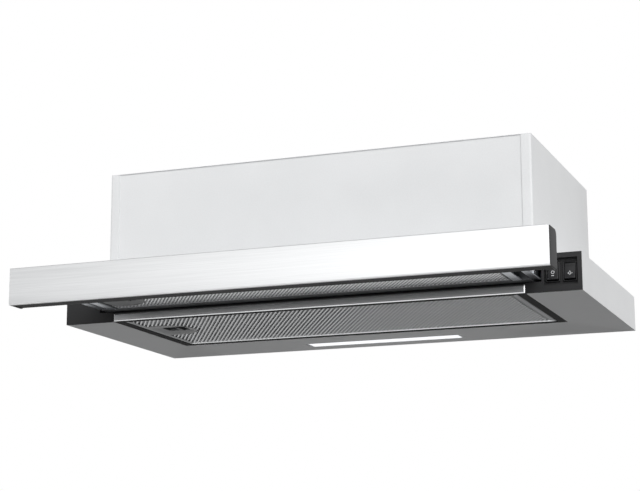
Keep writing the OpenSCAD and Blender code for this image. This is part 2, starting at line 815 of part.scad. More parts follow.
// Filter frame folded from aluminium round the mesh, with two hinge pins at its right-hand edge
module filter_frame(y0, y1, z, mid_y) {
    s = filter_sheet;
    b = filter_border;
    difference() {
        block([-filter_x, y0, z], [filter_x, y1, z + filter_t]);
        block([-filter_x + s, y0 + s, z + s], [filter_x - s, y1 - s, z + filter_t - s]);
        block([-filter_x + b, y0 + b, z - cut], [filter_x - b, y1 - b, z + filter_t + cut]);
        block([-filter_x - cut, mid_y - latch_slot / 2, z + tongue_z0],
              [-filter_x + b, mid_y + latch_slot / 2, z + tongue_z1]);
    }
    for (y = [y0 - filter_gap - hinge_reach + 0.4, y1 - s])
        rod_y([filter_x - hinge_in, y, z + hinge_up], filter_pin_r, filter_gap + hinge_reach + s - 0.4);
}

// Expanded mesh inside the frame: staggered diamonds in a plate, with a round bay where the handle sits
module filter_mesh(y0, y1, z, mid_y) {
    s = filter_sheet;
    mesh_t = 3;
    x1 = filter_x - s - fit_gap;
    low = y0 + s + fit_gap;
    high = y1 - s - fit_gap;
    bay = [handle_x1 - handle_r - filter_x, mid_y];
    bay_r = handle_r + fit_gap;
    bay_a = acos((-x1 - bay.x) / bay_r);
    rim = filter_border - 2;
    a = (mesh_pitch - strand_w) / 2;
    b = a * mesh_slant;
    columns = floor((x1 - rim - a) / mesh_pitch * 2);
    rows = floor(((high - low) / 2 - rim - b) / (mesh_pitch * mesh_slant) * 2);
    centres = [for (i = [-columns:columns], j = [-rows:rows])
        let (x = i * mesh_pitch / 2, y = (low + high) / 2 + j * mesh_pitch * mesh_slant / 2)
        let (v = [x, y] - bay, reach = max(a * abs(v.x), b * abs(v.y)) / norm(v))
        if ((i + j) % 2 == 0 && norm(v) - reach > bay_r + strand_w) [x, y]];
    outline = concat([[-x1, low], [x1, low], [x1, high], [-x1, high]],
                     [for (u = [1:-1 / 12:-1.001]) bay + bay_r * [cos(u * bay_a), sin(u * bay_a)]]);
    count = len(outline);
    corners = [for (c = centres, k = [[-a, 0], [0, -b], [a, 0], [0, b]]) c + k];
    paths = concat([[for (k = [0:count - 1]) k]],
                   [for (n = [0:len(centres) - 1]) [for (k = [0:3]) count + 4 * n + k]]);
    translate([0, 0, z + s + fit_gap]) linear_extrude(mesh_t) polygon(concat(outline, corners), paths);
}

// Filter handle: a round plate cut off at the frame, with a finger opening and a cup over it
module filter_handle(mid_y, z) translate([-filter_x, mid_y, z]) {
    cup_half = slider_half + 0.6 + cup_wall;
    difference() {
        union() {
            intersection() {
                translate([handle_x1 - handle_r, 0, 0]) cylinder(r = handle_r, h = plate_t);
                block([handle_x0, -handle_w, -cut], [handle_x1, handle_w, plate_t + cut]);
            }
            block([handle_x0, -cup_half, 0], [cup_x1, cup_half, cup_h]);
        }
        block([handle_x0 + cup_wall, -cup_half + cup_wall, plate_t],
              [cup_x1 - cup_wall, cup_half - cup_wall, cup_h - cup_wall]);
        block([finger_x0, -finger_half, -cut], [finger_x1, finger_half, plate_t + cut]);
        block([handle_x0 - cut, -latch_slot / 2, plate_t],
              [handle_x0 + cup_wall + cut, latch_slot / 2, slider_z + slider_t + fit_gap]);
    }
}

// Sliding latch: a tongue past the filter's edge and a finger lip in the handle's opening
module filter_latch(mid_y, z) translate([-filter_x, mid_y, z]) {
    lip_x = slider_len - finger_lip;
    rail = 4;
    difference() {
        block([-tongue_out, -slider_half, slider_z], [slider_len, slider_half, slider_z + slider_t]);
        block([finger_x0, -slider_half + rail, slider_z - cut],
              [lip_x, slider_half - rail, slider_z + slider_t + cut]);
    }
    block([lip_x, -finger_half + 0.4, 0.4], [slider_len, finger_half - 0.4, slider_z + slider_t]);
}

module main_filter_frame() at_mount() color("#a4a6a8") filter_frame(main_y0, main_y1, main_z, handle_y);

module main_filter_mesh() at_mount() color("#8e9092") filter_mesh(main_y0, main_y1, main_z, handle_y);

module main_filter_handle() at_mount() color("#6b6c6e") filter_handle(handle_y, main_z);

module main_filter_latch() at_mount() color("#3a3a3c") filter_latch(handle_y, main_z);

module visor_filter_frame() at_mount() color("#a4a6a8")
    filter_frame(visor_y0, visor_y1, visor_z, visor_handle_y);

module visor_filter_mesh() at_mount() color("#8e9092")
    filter_mesh(visor_y0, visor_y1, visor_z, visor_handle_y);

module visor_filter_handle() at_mount() color("#6b6c6e") filter_handle(visor_handle_y, visor_z);

module visor_filter_latch() at_mount() color("#3a3a3c") filter_latch(visor_handle_y, visor_z);

// Radius of the scroll at an angle from the rearward direction, growing evenly from the tongue
function scroll_r(a) = scroll_r0 + scroll_growth * (a - tongue_a) / (360 - tongue_a);

// Scroll and outlet channel in Y and Z, grown outwards by a wall
module scroll_outline(grow) {
    spiral = [for (a = [tongue_a + 2 * grow:(360 - tongue_a - 2 * grow) / 30:360.01])
        [axle_y + (scroll_r(a) + grow) * cos(a), axle_z + (scroll_r(a) + grow) * sin(a)]];
    polygon(concat(spiral, [[outlet_y1 + grow, outlet_top], [outlet_y0 - grow, outlet_top]]));
}

// Half of the blower's scroll: band, side plate with its inlet, and outlet flange, for the right-hand side
module scroll_half_shell() difference() {
    flange_half = collar_screw_r - 1;
    inlet_ring = 3;
    union() {
        along_x(0, scroll_outer) scroll_outline(scroll_wall);
        block([0, duct_y - flange_half, outlet_top - scroll_wall],
              [flange_half, duct_y + flange_half, outlet_top]);
        rod_x([scroll_half, axle_y, axle_z], inlet_r + inlet_ring, 2 * scroll_wall);
    }
    along_x(-cut, scroll_half) scroll_outline(0);
    block([-cut, outlet_y0, outlet_top - 2 * scroll_wall], [scroll_half, outlet_y1, outlet_top + cut]);
    rod_x([scroll_half - cut, axle_y, axle_z], inlet_r, 3 * scroll_wall);
    collar_screw_places() translate([0, 0, -t - scroll_wall - cut])
        cylinder(r = screw_hole_r, h = scroll_wall + 2 * cut);
}

module scroll_left() at_mount() color("#8a8c8e") difference() {
    mirror([1, 0, 0]) scroll_half_shell();
    bracket_screw_places() translate([0, 0, -scroll_wall - cut])
        cylinder(r = screw_hole_r, h = scroll_wall + 2 * cut);
}

module scroll_right() at_mount() color("#8a8c8e") scroll_half_shell();

// One forward-curved blade in cross-section: an arc between the two rims
module blade() {
    turn = 26;
    steps = 4;
    thick = 0.9;
    function at(i, side) = let (
        f = i / steps,
        r = impeller_r - blade_d * (1 - f) + 0.4 * (0.5 - f),
        a = turn * (1 - sqrt(1 - f * f * 0.8)) - 7 * f + side * thick / 2 / r * 57.3
    ) [r * cos(a), r * sin(a)];
    polygon(concat([for (i = [0:steps]) at(i, 1)], [for (i = [steps:-1:0]) at(i, -1)]));
}

// Double-inlet impeller: a middle disc, blades through it and a rim at each end
module impeller() at_mount() color("#b4b6b8") translate([0, axle_y, axle_z]) rotate([0, 90, 0]) difference() {
    disc_t = 2;
    rim_w = 2;
    hub_r = 9;
    hub_len = 12;
    union() {
        cylinder(r = impeller_r - 0.5, h = disc_t, center = true);
        cylinder(r = hub_r, h = hub_len, center = true);
        for (i = [0:blade_count - 1]) rotate(i * 360 / blade_count)
            translate([0, 0, -impeller_w / 2 + 0.5]) linear_extrude(impeller_w - 1) blade();
        for (z = [-impeller_w / 2, impeller_w / 2 - rim_w]) translate([0, 0, z]) difference() {
            cylinder(r = impeller_r, h = rim_w);
            translate([0, 0, -cut]) cylinder(r = impeller_r - blade_d, h = rim_w + 2 * cut);
        }
    }
    cylinder(r = shaft_r, h = impeller_w, center = true);
}

module motor_shaft() at_mount() color("#c9cbcd") {
    rod_x([shaft_x0, axle_y, axle_z], shaft_r, shaft_x1 - shaft_x0);
}

// Motor inside the left half of the impeller, with end caps and cooling slots
module motor_housing() at_mount() color("#9a9c9e") difference() {
    slot_half = 11;
    slot_depth = 3;
    slot_half_w = 1.5;
    union() {
        rod_x([motor_x0, axle_y, axle_z], motor_r, motor_len);
        rod_x([motor_x0, axle_y, axle_z], boss_r, motor_len + boss_h);
    }
    rod_x([motor_x0 - cut, axle_y, axle_z], shaft_r + run_gap, motor_len + boss_h + 2 * cut);
    for (a = [15:30:345]) translate([motor_x0 + motor_len / 2, axle_y, axle_z]) rotate([a, 0, 0])
        block([-slot_half, motor_r - slot_depth, -slot_half_w], [slot_half, motor_r + cut, slot_half_w]);
}

// Three-armed steel bracket from the motor's end to the scroll's side
module motor_bracket() at_mount() color("#b8babc") difference() {
    arm_end = bracket_screw_r + bracket_arm_half;
    union() {
        rod_x([bracket_x0, axle_y, axle_z], motor_r - 6, bracket_t);
        for (a = bracket_arms) translate([bracket_x0, axle_y, axle_z]) rotate([a, 0, 0]) {
            block([0, 0, -bracket_arm_half], [bracket_t, arm_end, bracket_arm_half]);
            block([0, inlet_r + 4, -bracket_arm_half], [-scroll_outer - bracket_x0, arm_end, bracket_arm_half]);
        }
    }
    bracket_screw_places() translate([0, 0, -cut]) cylinder(r = screw_hole_r, h = 6 + cut);
    rod_x([bracket_x0 - cut, axle_y, axle_z], boss_r + 1, bracket_t + cut);
}

// Run capacitor on the casing's rear wall, and the clip that holds it
module capacitor() at_mount() color("#d9d9d6") translate([capacitor_x, capacitor_y, capacitor_z]) {
    tab_half_t = 0.4;
    tab_half_w = 3;
    tab_len = 8;
    cylinder(r = capacitor_r, h = capacitor_h);
    for (x = [-5, 5])
        block([x - tab_half_t, -tab_half_w, capacitor_h - cut],
              [x + tab_half_t, tab_half_w, capacitor_h + tab_len]);
}

module capacitor_clip() at_mount() color("#b8babc") translate([capacitor_x, capacitor_y, clip_z]) difference() {
    band_t = 1.2;
    foot_half = 24;
    union() {
        cylinder(r = capacitor_r + band_t, h = clip_h);
        block([-foot_half, capacitor_r, 0], [foot_half, rear_wall_y - capacitor_y, clip_h]);
    }
    translate([0, 0, -cut]) cylinder(r = capacitor_r + run_gap, h = clip_h + 2 * cut);
}

// Terminal box under the cable gland, with its lid
module terminal_box() at_mount() color("#e2e2df") translate([terminal_x, 0, terminal_z0]) difference() {
    inner_x = terminal_half - wall;
    entry_y = terminal_y0 + terminal_d / 3;
    entry_r = 5;
    block([-terminal_half, terminal_y0, 0], [terminal_half, rear_wall_y, terminal_h]);
    block([-inner_x, terminal_y0 - cut, wall], [inner_x, rear_wall_y - wall, terminal_h - wall]);
    translate([0, entry_y, wall + cut]) cylinder(r = entry_r, h = terminal_h);
}

module terminal_box_lid() at_mount() color("#d4d4d1") translate([terminal_x, 0, terminal_z0]) {
    inset = wall + fit_gap;
    plug = 3;
    block([-terminal_half, terminal_y0 - wall, 0], [terminal_half, terminal_y0, terminal_h]);
    block([-terminal_half + inset, terminal_y0 - cut, inset],
          [terminal_half - inset, terminal_y0 + plug, terminal_h - inset]);
}

// Cable gland in the casing's top: hexagon, thread and lock nut, bored for the mains lead
module cable_gland() at_mount() color("#3c3c3e") translate([gland_x, gland_y, casing_top]) difference() {
    body_h = 5;
    cap_h = 8;
    nut_h = 4;
    union() {
        cylinder(r = gland_hex_r, h = body_h, $fn = 6);
        cylinder(r = gland_thread_r + 0.5, h = body_h + cap_h);
        translate([0, 0, -gland_below]) cylinder(r = gland_thread_r, h = gland_below + cut);
        translate([0, 0, -t - nut_h]) cylinder(r = gland_hex_r, h = nut_h, $fn = 6);
    }
    translate([0, 0, -gland_below - cut]) cylinder(r = gland_bore, h = gland_below + body_h + cap_h + 2 * cut);
}

// Lamp tray over the window in the bottom plate
module lamp_housing() at_mount() color("#c9cbcd") {
    margin = lamp_flange + 2;
    x = lamp_w / 2 + margin;
    y = lamp_d / 2 + margin;
    w = lamp_tray_wall;
    translate([0, lamp_y, t]) difference() {
        block([-x, -y, 0], [x, y, lamp_tray_h]);
        block([-x + w, -y + w, -cut], [x - w, y - w, lamp_tray_h - w]);
    }
}

module led_board() at_mount() color("#f4f4f0") {
    x = lamp_w / 2 - 3;
    z = t + lamp_tray_h - lamp_tray_wall - board_t;
    pitch = 2 * x / led_count;
    block([-x, lamp_y - board_half_d, z], [x, lamp_y + board_half_d, z + board_t]);
    for (i = [0:led_count - 1]) translate([-x + (i + 0.5) * pitch, lamp_y, z])
        block([-led_half, -led_half, -led_h], [led_half, led_half, board_t / 2]);
}

// Lens flush with the underside, with a flange that rests on the bottom plate
module lamp_lens() at_mount() color("#f6f8fa") {
    x = lamp_w / 2;
    y = lamp_d / 2;
    g = fit_gap;
    translate([0, lamp_y, 0]) {
        block([-x + g, -y + g, 0], [x - g, y - g, lens_t]);
        block([-x - lamp_flange, -y - lamp_flange, t], [x + lamp_flange, y + lamp_flange, lens_t]);
    }
}

// Power supply of the lamp on the casing's rear wall, with a screw hole at each end
module led_driver() at_mount() color("#e6e6e2") translate([driver_x, 0, driver_z]) difference() {
    ear = 5;
    block([-driver_half, rear_wall_y - driver_d, 0], [driver_half, rear_wall_y, driver_h]);
    for (x = [ear - driver_half, driver_half - ear])
        rod_y([x, rear_wall_y - driver_d - cut, driver_h / 2], screw_hole_r, driver_d + 2 * cut);
}

module body_screws() at_mount() color("#c0c2c4") body_screw_places() screw(2 * t + 2.5);

module collar_screws() at_mount() color("#c0c2c4") {
    collar_screw_places() translate([0, 0, collar_flange_t]) screw(collar_flange_t + t + scroll_wall + 1);
}

module bracket_screws() at_mount() color("#c0c2c4") {
    foot_t = -scroll_outer - bracket_x0;
    bracket_screw_places() translate([0, 0, foot_t]) screw(foot_t + scroll_wall);
}

module panel_screws() at_mount() color("#c0c2c4") {
    for (x = panel_screw_columns)
        translate([x, front_bar_y, panel_screw_z]) rotate([-90, 0, 0]) screw(front_bar_d + wall + 2);
}

module runner_screws() at_mount() color("#c0c2c4") both_sides() runner_screw_place() screw(runner_screw_len);

base_pan();
fascia_left();
fascia_right();
front_trim();
filter_surround();
casing_shell();
casing_front();
duct_collar();
flap_left();
flap_right();
runner_bracket_left();
runner_bracket_right();
runner_left_fixed();
runner_right_fixed();
ball_cage_left();
ball_cage_right();
runner_left_moving();
runner_right_moving();
front_panel();
panel_carrier();
end_cap_left();
end_cap_right();
visor_arm_left();
visor_arm_right();
visor_front_bar();
visor_crossbar();
visor_cover();
visor_filter_frame();
visor_filter_mesh();
visor_filter_handle();
visor_filter_latch();
main_filter_frame();
main_filter_mesh();
main_filter_handle();
main_filter_latch();
scroll_left();
scroll_right();
impeller();
motor_shaft();
motor_housing();
motor_bracket();
capacitor();
capacitor_clip();
terminal_box();
terminal_box_lid();
cable_gland();
lamp_housing();
led_board();
lamp_lens();
led_driver();
fan_switch_body();
light_switch_body();
fan_rocker();
light_rocker();
body_screws();
collar_screws();
bracket_screws();
panel_screws();
runner_screws();
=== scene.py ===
import json
import math

import bmesh
import bpy
import numpy as np
from mathutils import Matrix, Vector


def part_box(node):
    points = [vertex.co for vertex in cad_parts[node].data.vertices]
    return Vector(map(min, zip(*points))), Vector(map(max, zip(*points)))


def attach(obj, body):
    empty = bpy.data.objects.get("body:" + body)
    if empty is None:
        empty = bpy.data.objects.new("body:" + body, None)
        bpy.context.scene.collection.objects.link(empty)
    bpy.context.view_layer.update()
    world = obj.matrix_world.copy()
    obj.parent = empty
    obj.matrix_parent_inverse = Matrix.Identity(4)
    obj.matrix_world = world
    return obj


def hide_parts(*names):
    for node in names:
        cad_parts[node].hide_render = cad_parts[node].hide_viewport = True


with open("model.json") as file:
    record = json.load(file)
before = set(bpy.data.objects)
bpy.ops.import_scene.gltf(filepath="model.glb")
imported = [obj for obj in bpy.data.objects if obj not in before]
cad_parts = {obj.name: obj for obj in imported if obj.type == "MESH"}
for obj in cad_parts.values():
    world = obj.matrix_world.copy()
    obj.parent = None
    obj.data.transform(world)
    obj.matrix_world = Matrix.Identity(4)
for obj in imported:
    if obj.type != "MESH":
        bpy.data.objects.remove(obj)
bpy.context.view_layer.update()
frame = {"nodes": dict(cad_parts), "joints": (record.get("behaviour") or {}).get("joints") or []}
mm = 0.001
least = 1e-6             # the shortest length that still counts, in metres
print("frame loaded:", len(frame["nodes"]), "nodes")


# sRGB hex to linear: c / 12.92 below 0.04045, else ((c + 0.055) / 1.055) ^ 2.4
def toLinear(hexColour):
    values = [int(hexColour[i:i + 2], 16) / 255 for i in (0, 2, 4)]
    return tuple(v / 12.92 if v <= 0.04045 else ((v + 0.055) / 1.055) ** 2.4 for v in values) + (1.0,)


# adds one node, sets its properties or input values, and links sockets into its inputs
def addNode(tree, kind, settings=None, links=None):
    node = tree.nodes.new(kind)
    for key, value in (settings or {}).items():
        if isinstance(key, int) or key in node.inputs:
            node.inputs[key].default_value = value
        else:
            setattr(node, key, value)
    for key, socket in (links or {}).items():
        tree.links.new(socket, node.inputs[key])
    return node


# rows of points joined by quads, each row closed round: the first and last row get flat caps, or the rows
# themselves run round in a ring
def loft(rows, ring=False):
    count, n = len(rows), len(rows[0])
    r, c = np.meshgrid(np.arange(count if ring else count - 1), np.arange(n), indexing="ij")
    r, c = r.ravel(), c.ravel()
    rn, cn = (r + 1) % count, (c + 1) % n
    faces = np.stack([r * n + c, r * n + cn, rn * n + cn, rn * n + c], axis=1).tolist()
    if not ring:
        faces += [list(range(n)), list(range((count - 1) * n, count * n))]
    return np.concatenate(rows), faces


# a plane outline (u, v) set at a level along X, Y or Z
def onPlane(outline, axis, level):
    return np.insert(np.asarray(outline, float), "XYZ".index(axis), level, axis=1)


# angles of a quarter turn in equal steps
def quarterTurn(steps):
    return np.linspace(0, math.pi / 2, steps)


# points (cos a, sin a) of a whole turn in equal steps
def unitCircle(sides):
    a = np.linspace(0, 2 * math.pi, sides, endpoint=False)
    return np.column_stack([np.cos(a), np.sin(a)])


# rectangle whose corners are quarter circles: corner centre + r (cos a, sin a), corners ++, -+, --, +-
def roundedRectangle(centre, half, radius, steps=6):
    radii = np.maximum(np.broadcast_to(radius, 4), least)
    corners = []
    for k, (sx, sy, r) in enumerate(zip((1, -1, -1, 1), (1, 1, -1, -1), radii)):
        a = quarterTurn(steps) + k * math.pi / 2
        corners.append(np.column_stack([sx * (half[0] - r) + r * np.cos(a),
                                        sy * (half[1] - r) + r * np.sin(a)]))
    return np.concatenate(corners) + np.asarray(centre, float)


# insets and levels that round both ends by e: inset e (1 - sin a) at low + e (1 - cos a), and then
# inset e (1 - cos a) at high - e (1 - sin a); two steps make a plain chamfer
def roundedEnds(low, high, edge, steps=2):
    a = quarterTurn(steps)
    insets = np.concatenate([edge * (1 - np.sin(a)), edge * (1 - np.cos(a))])
    levels = np.concatenate([low + edge * (1 - np.cos(a)), high - edge * (1 - np.sin(a))])
    return zip(insets, levels)


# slab between two levels: a rounded rectangle, drawn in at both ends
def slab(centre, half, corner, axis, low, high, edge):
    return loft([onPlane(roundedRectangle(centre, np.asarray(half) - i, corner - i), axis, level)
                 for i, level in roundedEnds(low, high, edge)])


# round bar along an axis: a circle r (cos a, sin a) between two levels, drawn in at both ends
def roundBar(centre, radius, axis, low, high, edge=0.2 * mm, sides=24):
    return loft([onPlane(np.asarray(centre) + (radius - i) * unitCircle(sides), axis, level)
                 for i, level in roundedEnds(low, high, edge)])


# four mitred corners of a profile (u inwards, v along the axis) carried round a rectangle
def cornerRows(centre, half, profile, axis):
    profile = np.asarray(profile, float)
    rows = []
    for sx, sy in ((1, 1), (-1, 1), (-1, -1), (1, -1)):
        flat = np.column_stack([centre[0] + sx * (half[0] - profile[:, 0]),
                                centre[1] + sy * (half[1] - profile[:, 0])])
        rows.append(np.insert(flat, "XYZ".index(axis), profile[:, 1], axis=1))
    return rows


# path through corners p, each rounded by a radius r from one leg d1 to the next d2:
# p + r (d2 - d1) - r d2 cos t + r d1 sin t
def foldedPath(corners, radii, steps=6):
    corners = np.asarray(corners, float)
    turn = quarterTurn(steps)[:, None]
    path = [corners[:1]]
    radii = np.broadcast_to(radii, len(corners) - 2)
    for before, point, after, radius in zip(corners[:-2], corners[1:-1], corners[2:], radii):
        d1 = (point - before) / np.linalg.norm(point - before)
        d2 = (after - point) / np.linalg.norm(after - point)
        middle = point + radius * (d2 - d1)
        path.append(middle - d2 * radius * np.cos(turn) + d1 * radius * np.sin(turn))
    return np.concatenate(path + [corners[-1:]])


# flat sheet with cut-outs: a filled plane curve given its thickness, then taken as a mesh
def cutSheet(outline, holes, low, high):
    curve = bpy.data.curves.new("sheetOutline", "CURVE")
    curve.dimensions, curve.fill_mode, curve.extrude = "2D", "BOTH", (high - low) / 2
    for loop in [outline] + holes:
        spline = curve.splines.new("POLY")
        spline.points.add(len(loop) - 1)
        points = np.column_stack([loop, np.zeros(len(loop)), np.ones(len(loop))])
        spline.points.foreach_set("co", points.ravel())
        spline.use_cyclic_u = True
    holder = bpy.data.objects.new("sheetOutline", curve)
    mesh = bpy.data.meshes.new_from_object(holder)
    points = np.empty(len(mesh.vertices) * 3)
    mesh.vertices.foreach_get("co", points)
    points = points.reshape(-1, 3) + [0, 0, (low + high) / 2]
    faces = [list(face.vertices) for face in mesh.polygons]
    bpy.data.objects.remove(holder)
    return points, faces


# one mesh piece from several skins: doubles merged, faces turned outwards, sharp where two faces meet steeply
def meshPiece(name, skins, finishName, body, replaced=(), sharpAngle=35):
    starts = np.cumsum([0] + [len(points) for points, faces in skins])
    mesh = bpy.data.meshes.new(name)
    mesh.from_pydata(np.concatenate([points for points, faces in skins]).tolist(), [],
                     [[int(v) + int(start) for v in face] for start, (points, faces) in zip(starts, skins)
                      for face in faces])
    work = bmesh.new()
    work.from_mesh(mesh)
    bmesh.ops.remove_doubles(work, verts=work.verts, dist=least)
    bmesh.ops.recalc_face_normals(work, faces=work.faces)
    work.to_mesh(mesh)
    work.free()
    mesh.update()
    mesh.polygons.foreach_set("use_smooth", [sharpAngle > 0] * len(mesh.polygons))
    if sharpAngle:
        mesh.set_sharp_from_angle(angle=math.radians(sharpAngle))
    piece = bpy.data.objects.new(name, mesh)
    bpy.context.scene.collection.objects.link(piece)
    mesh.materials.append(finish[finishName])
    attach(piece, body)
    if replaced:
        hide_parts(*replaced)


# what every finish has unless it says otherwise
plainFinish = {"metallic": 0.0, "specular": 0.5, "glow": "000000", "glowPower": 0.0, "edgeMm": 0,
               "edgeSamples": 4, "grainDetail": 3.0, "grainRough": 0.6, "cloudMm": (60, 60, 60),
               "cloudDetail": 2.0, "cloudShare": 0.5, "spread": (0.3, 0.7), "bumpDepth": 0.1 * mm}


# grain and clouds are noise scaled by real sizes, 1000 / mm each way; (1 - s) grain + s cloud runs between the
# two colours and the two roughnesses, and the grain alone lifts the surface
def makeFinish(name, own):
    f = {**plainFinish, **own}
    material = bpy.data.materials.new(name)
    material.use_nodes = True
    tree = material.node_tree
    tree.nodes.clear()
    place = addNode(tree, "ShaderNodeTexCoord").outputs["Object"]
    grainMap = addNode(tree, "ShaderNodeMapping", {"Scale": [1000 / s for s in f["grainMm"]]},
                       {"Vector": place})
    grain = addNode(tree, "ShaderNodeTexNoise",
                    {"Scale": 1.0, "Detail": f["grainDetail"], "Roughness": f["grainRough"]},
                    {"Vector": grainMap.outputs["Vector"]})
    cloudMap = addNode(tree, "ShaderNodeMapping", {"Scale": [1000 / s for s in f["cloudMm"]]},
                       {"Vector": place})
    cloud = addNode(tree, "ShaderNodeTexNoise", {"Scale": 1.0, "Detail": f["cloudDetail"]},
                    {"Vector": cloudMap.outputs["Vector"]})
    clouded = addNode(tree, "ShaderNodeMath", {"operation": "MULTIPLY", 1: f["cloudShare"]},
                      {0: cloud.outputs["Fac"]})
    mix = addNode(tree, "ShaderNodeMath", {"operation": "MULTIPLY_ADD", 1: 1 - f["cloudShare"]},
                  {0: grain.outputs["Fac"], 2: clouded.outputs["Value"]})
    spread = addNode(tree, "ShaderNodeMapRange", {"From Min": f["spread"][0], "From Max": f["spread"][1]},
                     {"Value": mix.outputs["Value"]}).outputs["Result"]
    colour = addNode(tree, "ShaderNodeMix",
                     {"data_type": "RGBA", 6: toLinear(f["dark"]), 7: toLinear(f["light"])}, {0: spread})
    rough = addNode(tree, "ShaderNodeMapRange", {"To Min": f["rough"][0], "To Max": f["rough"][1]},
                    {"Value": spread})
    bumpLinks = {"Height": grain.outputs["Fac"]}
    if f["edgeMm"]:
        edge = addNode(tree, "ShaderNodeBevel", {"Radius": f["edgeMm"] * mm, "samples": f["edgeSamples"]})
        bumpLinks["Normal"] = edge.outputs["Normal"]
    bump = addNode(tree, "ShaderNodeBump", {"Strength": f["bump"], "Distance": f["bumpDepth"]}, bumpLinks)
    shader = addNode(tree, "ShaderNodeBsdfPrincipled",
                     {"Metallic": f["metallic"], "Specular IOR Level": f["specular"],
                      "Emission Color": toLinear(f["glow"]), "Emission Strength": f["glowPower"]},
                     {"Base Color": colour.outputs[2], "Roughness": rough.outputs["Result"],
                      "Normal": bump.outputs["Normal"]})
    addNode(tree, "ShaderNodeOutputMaterial", links={"Surface": shader.outputs["BSDF"]})
    return material


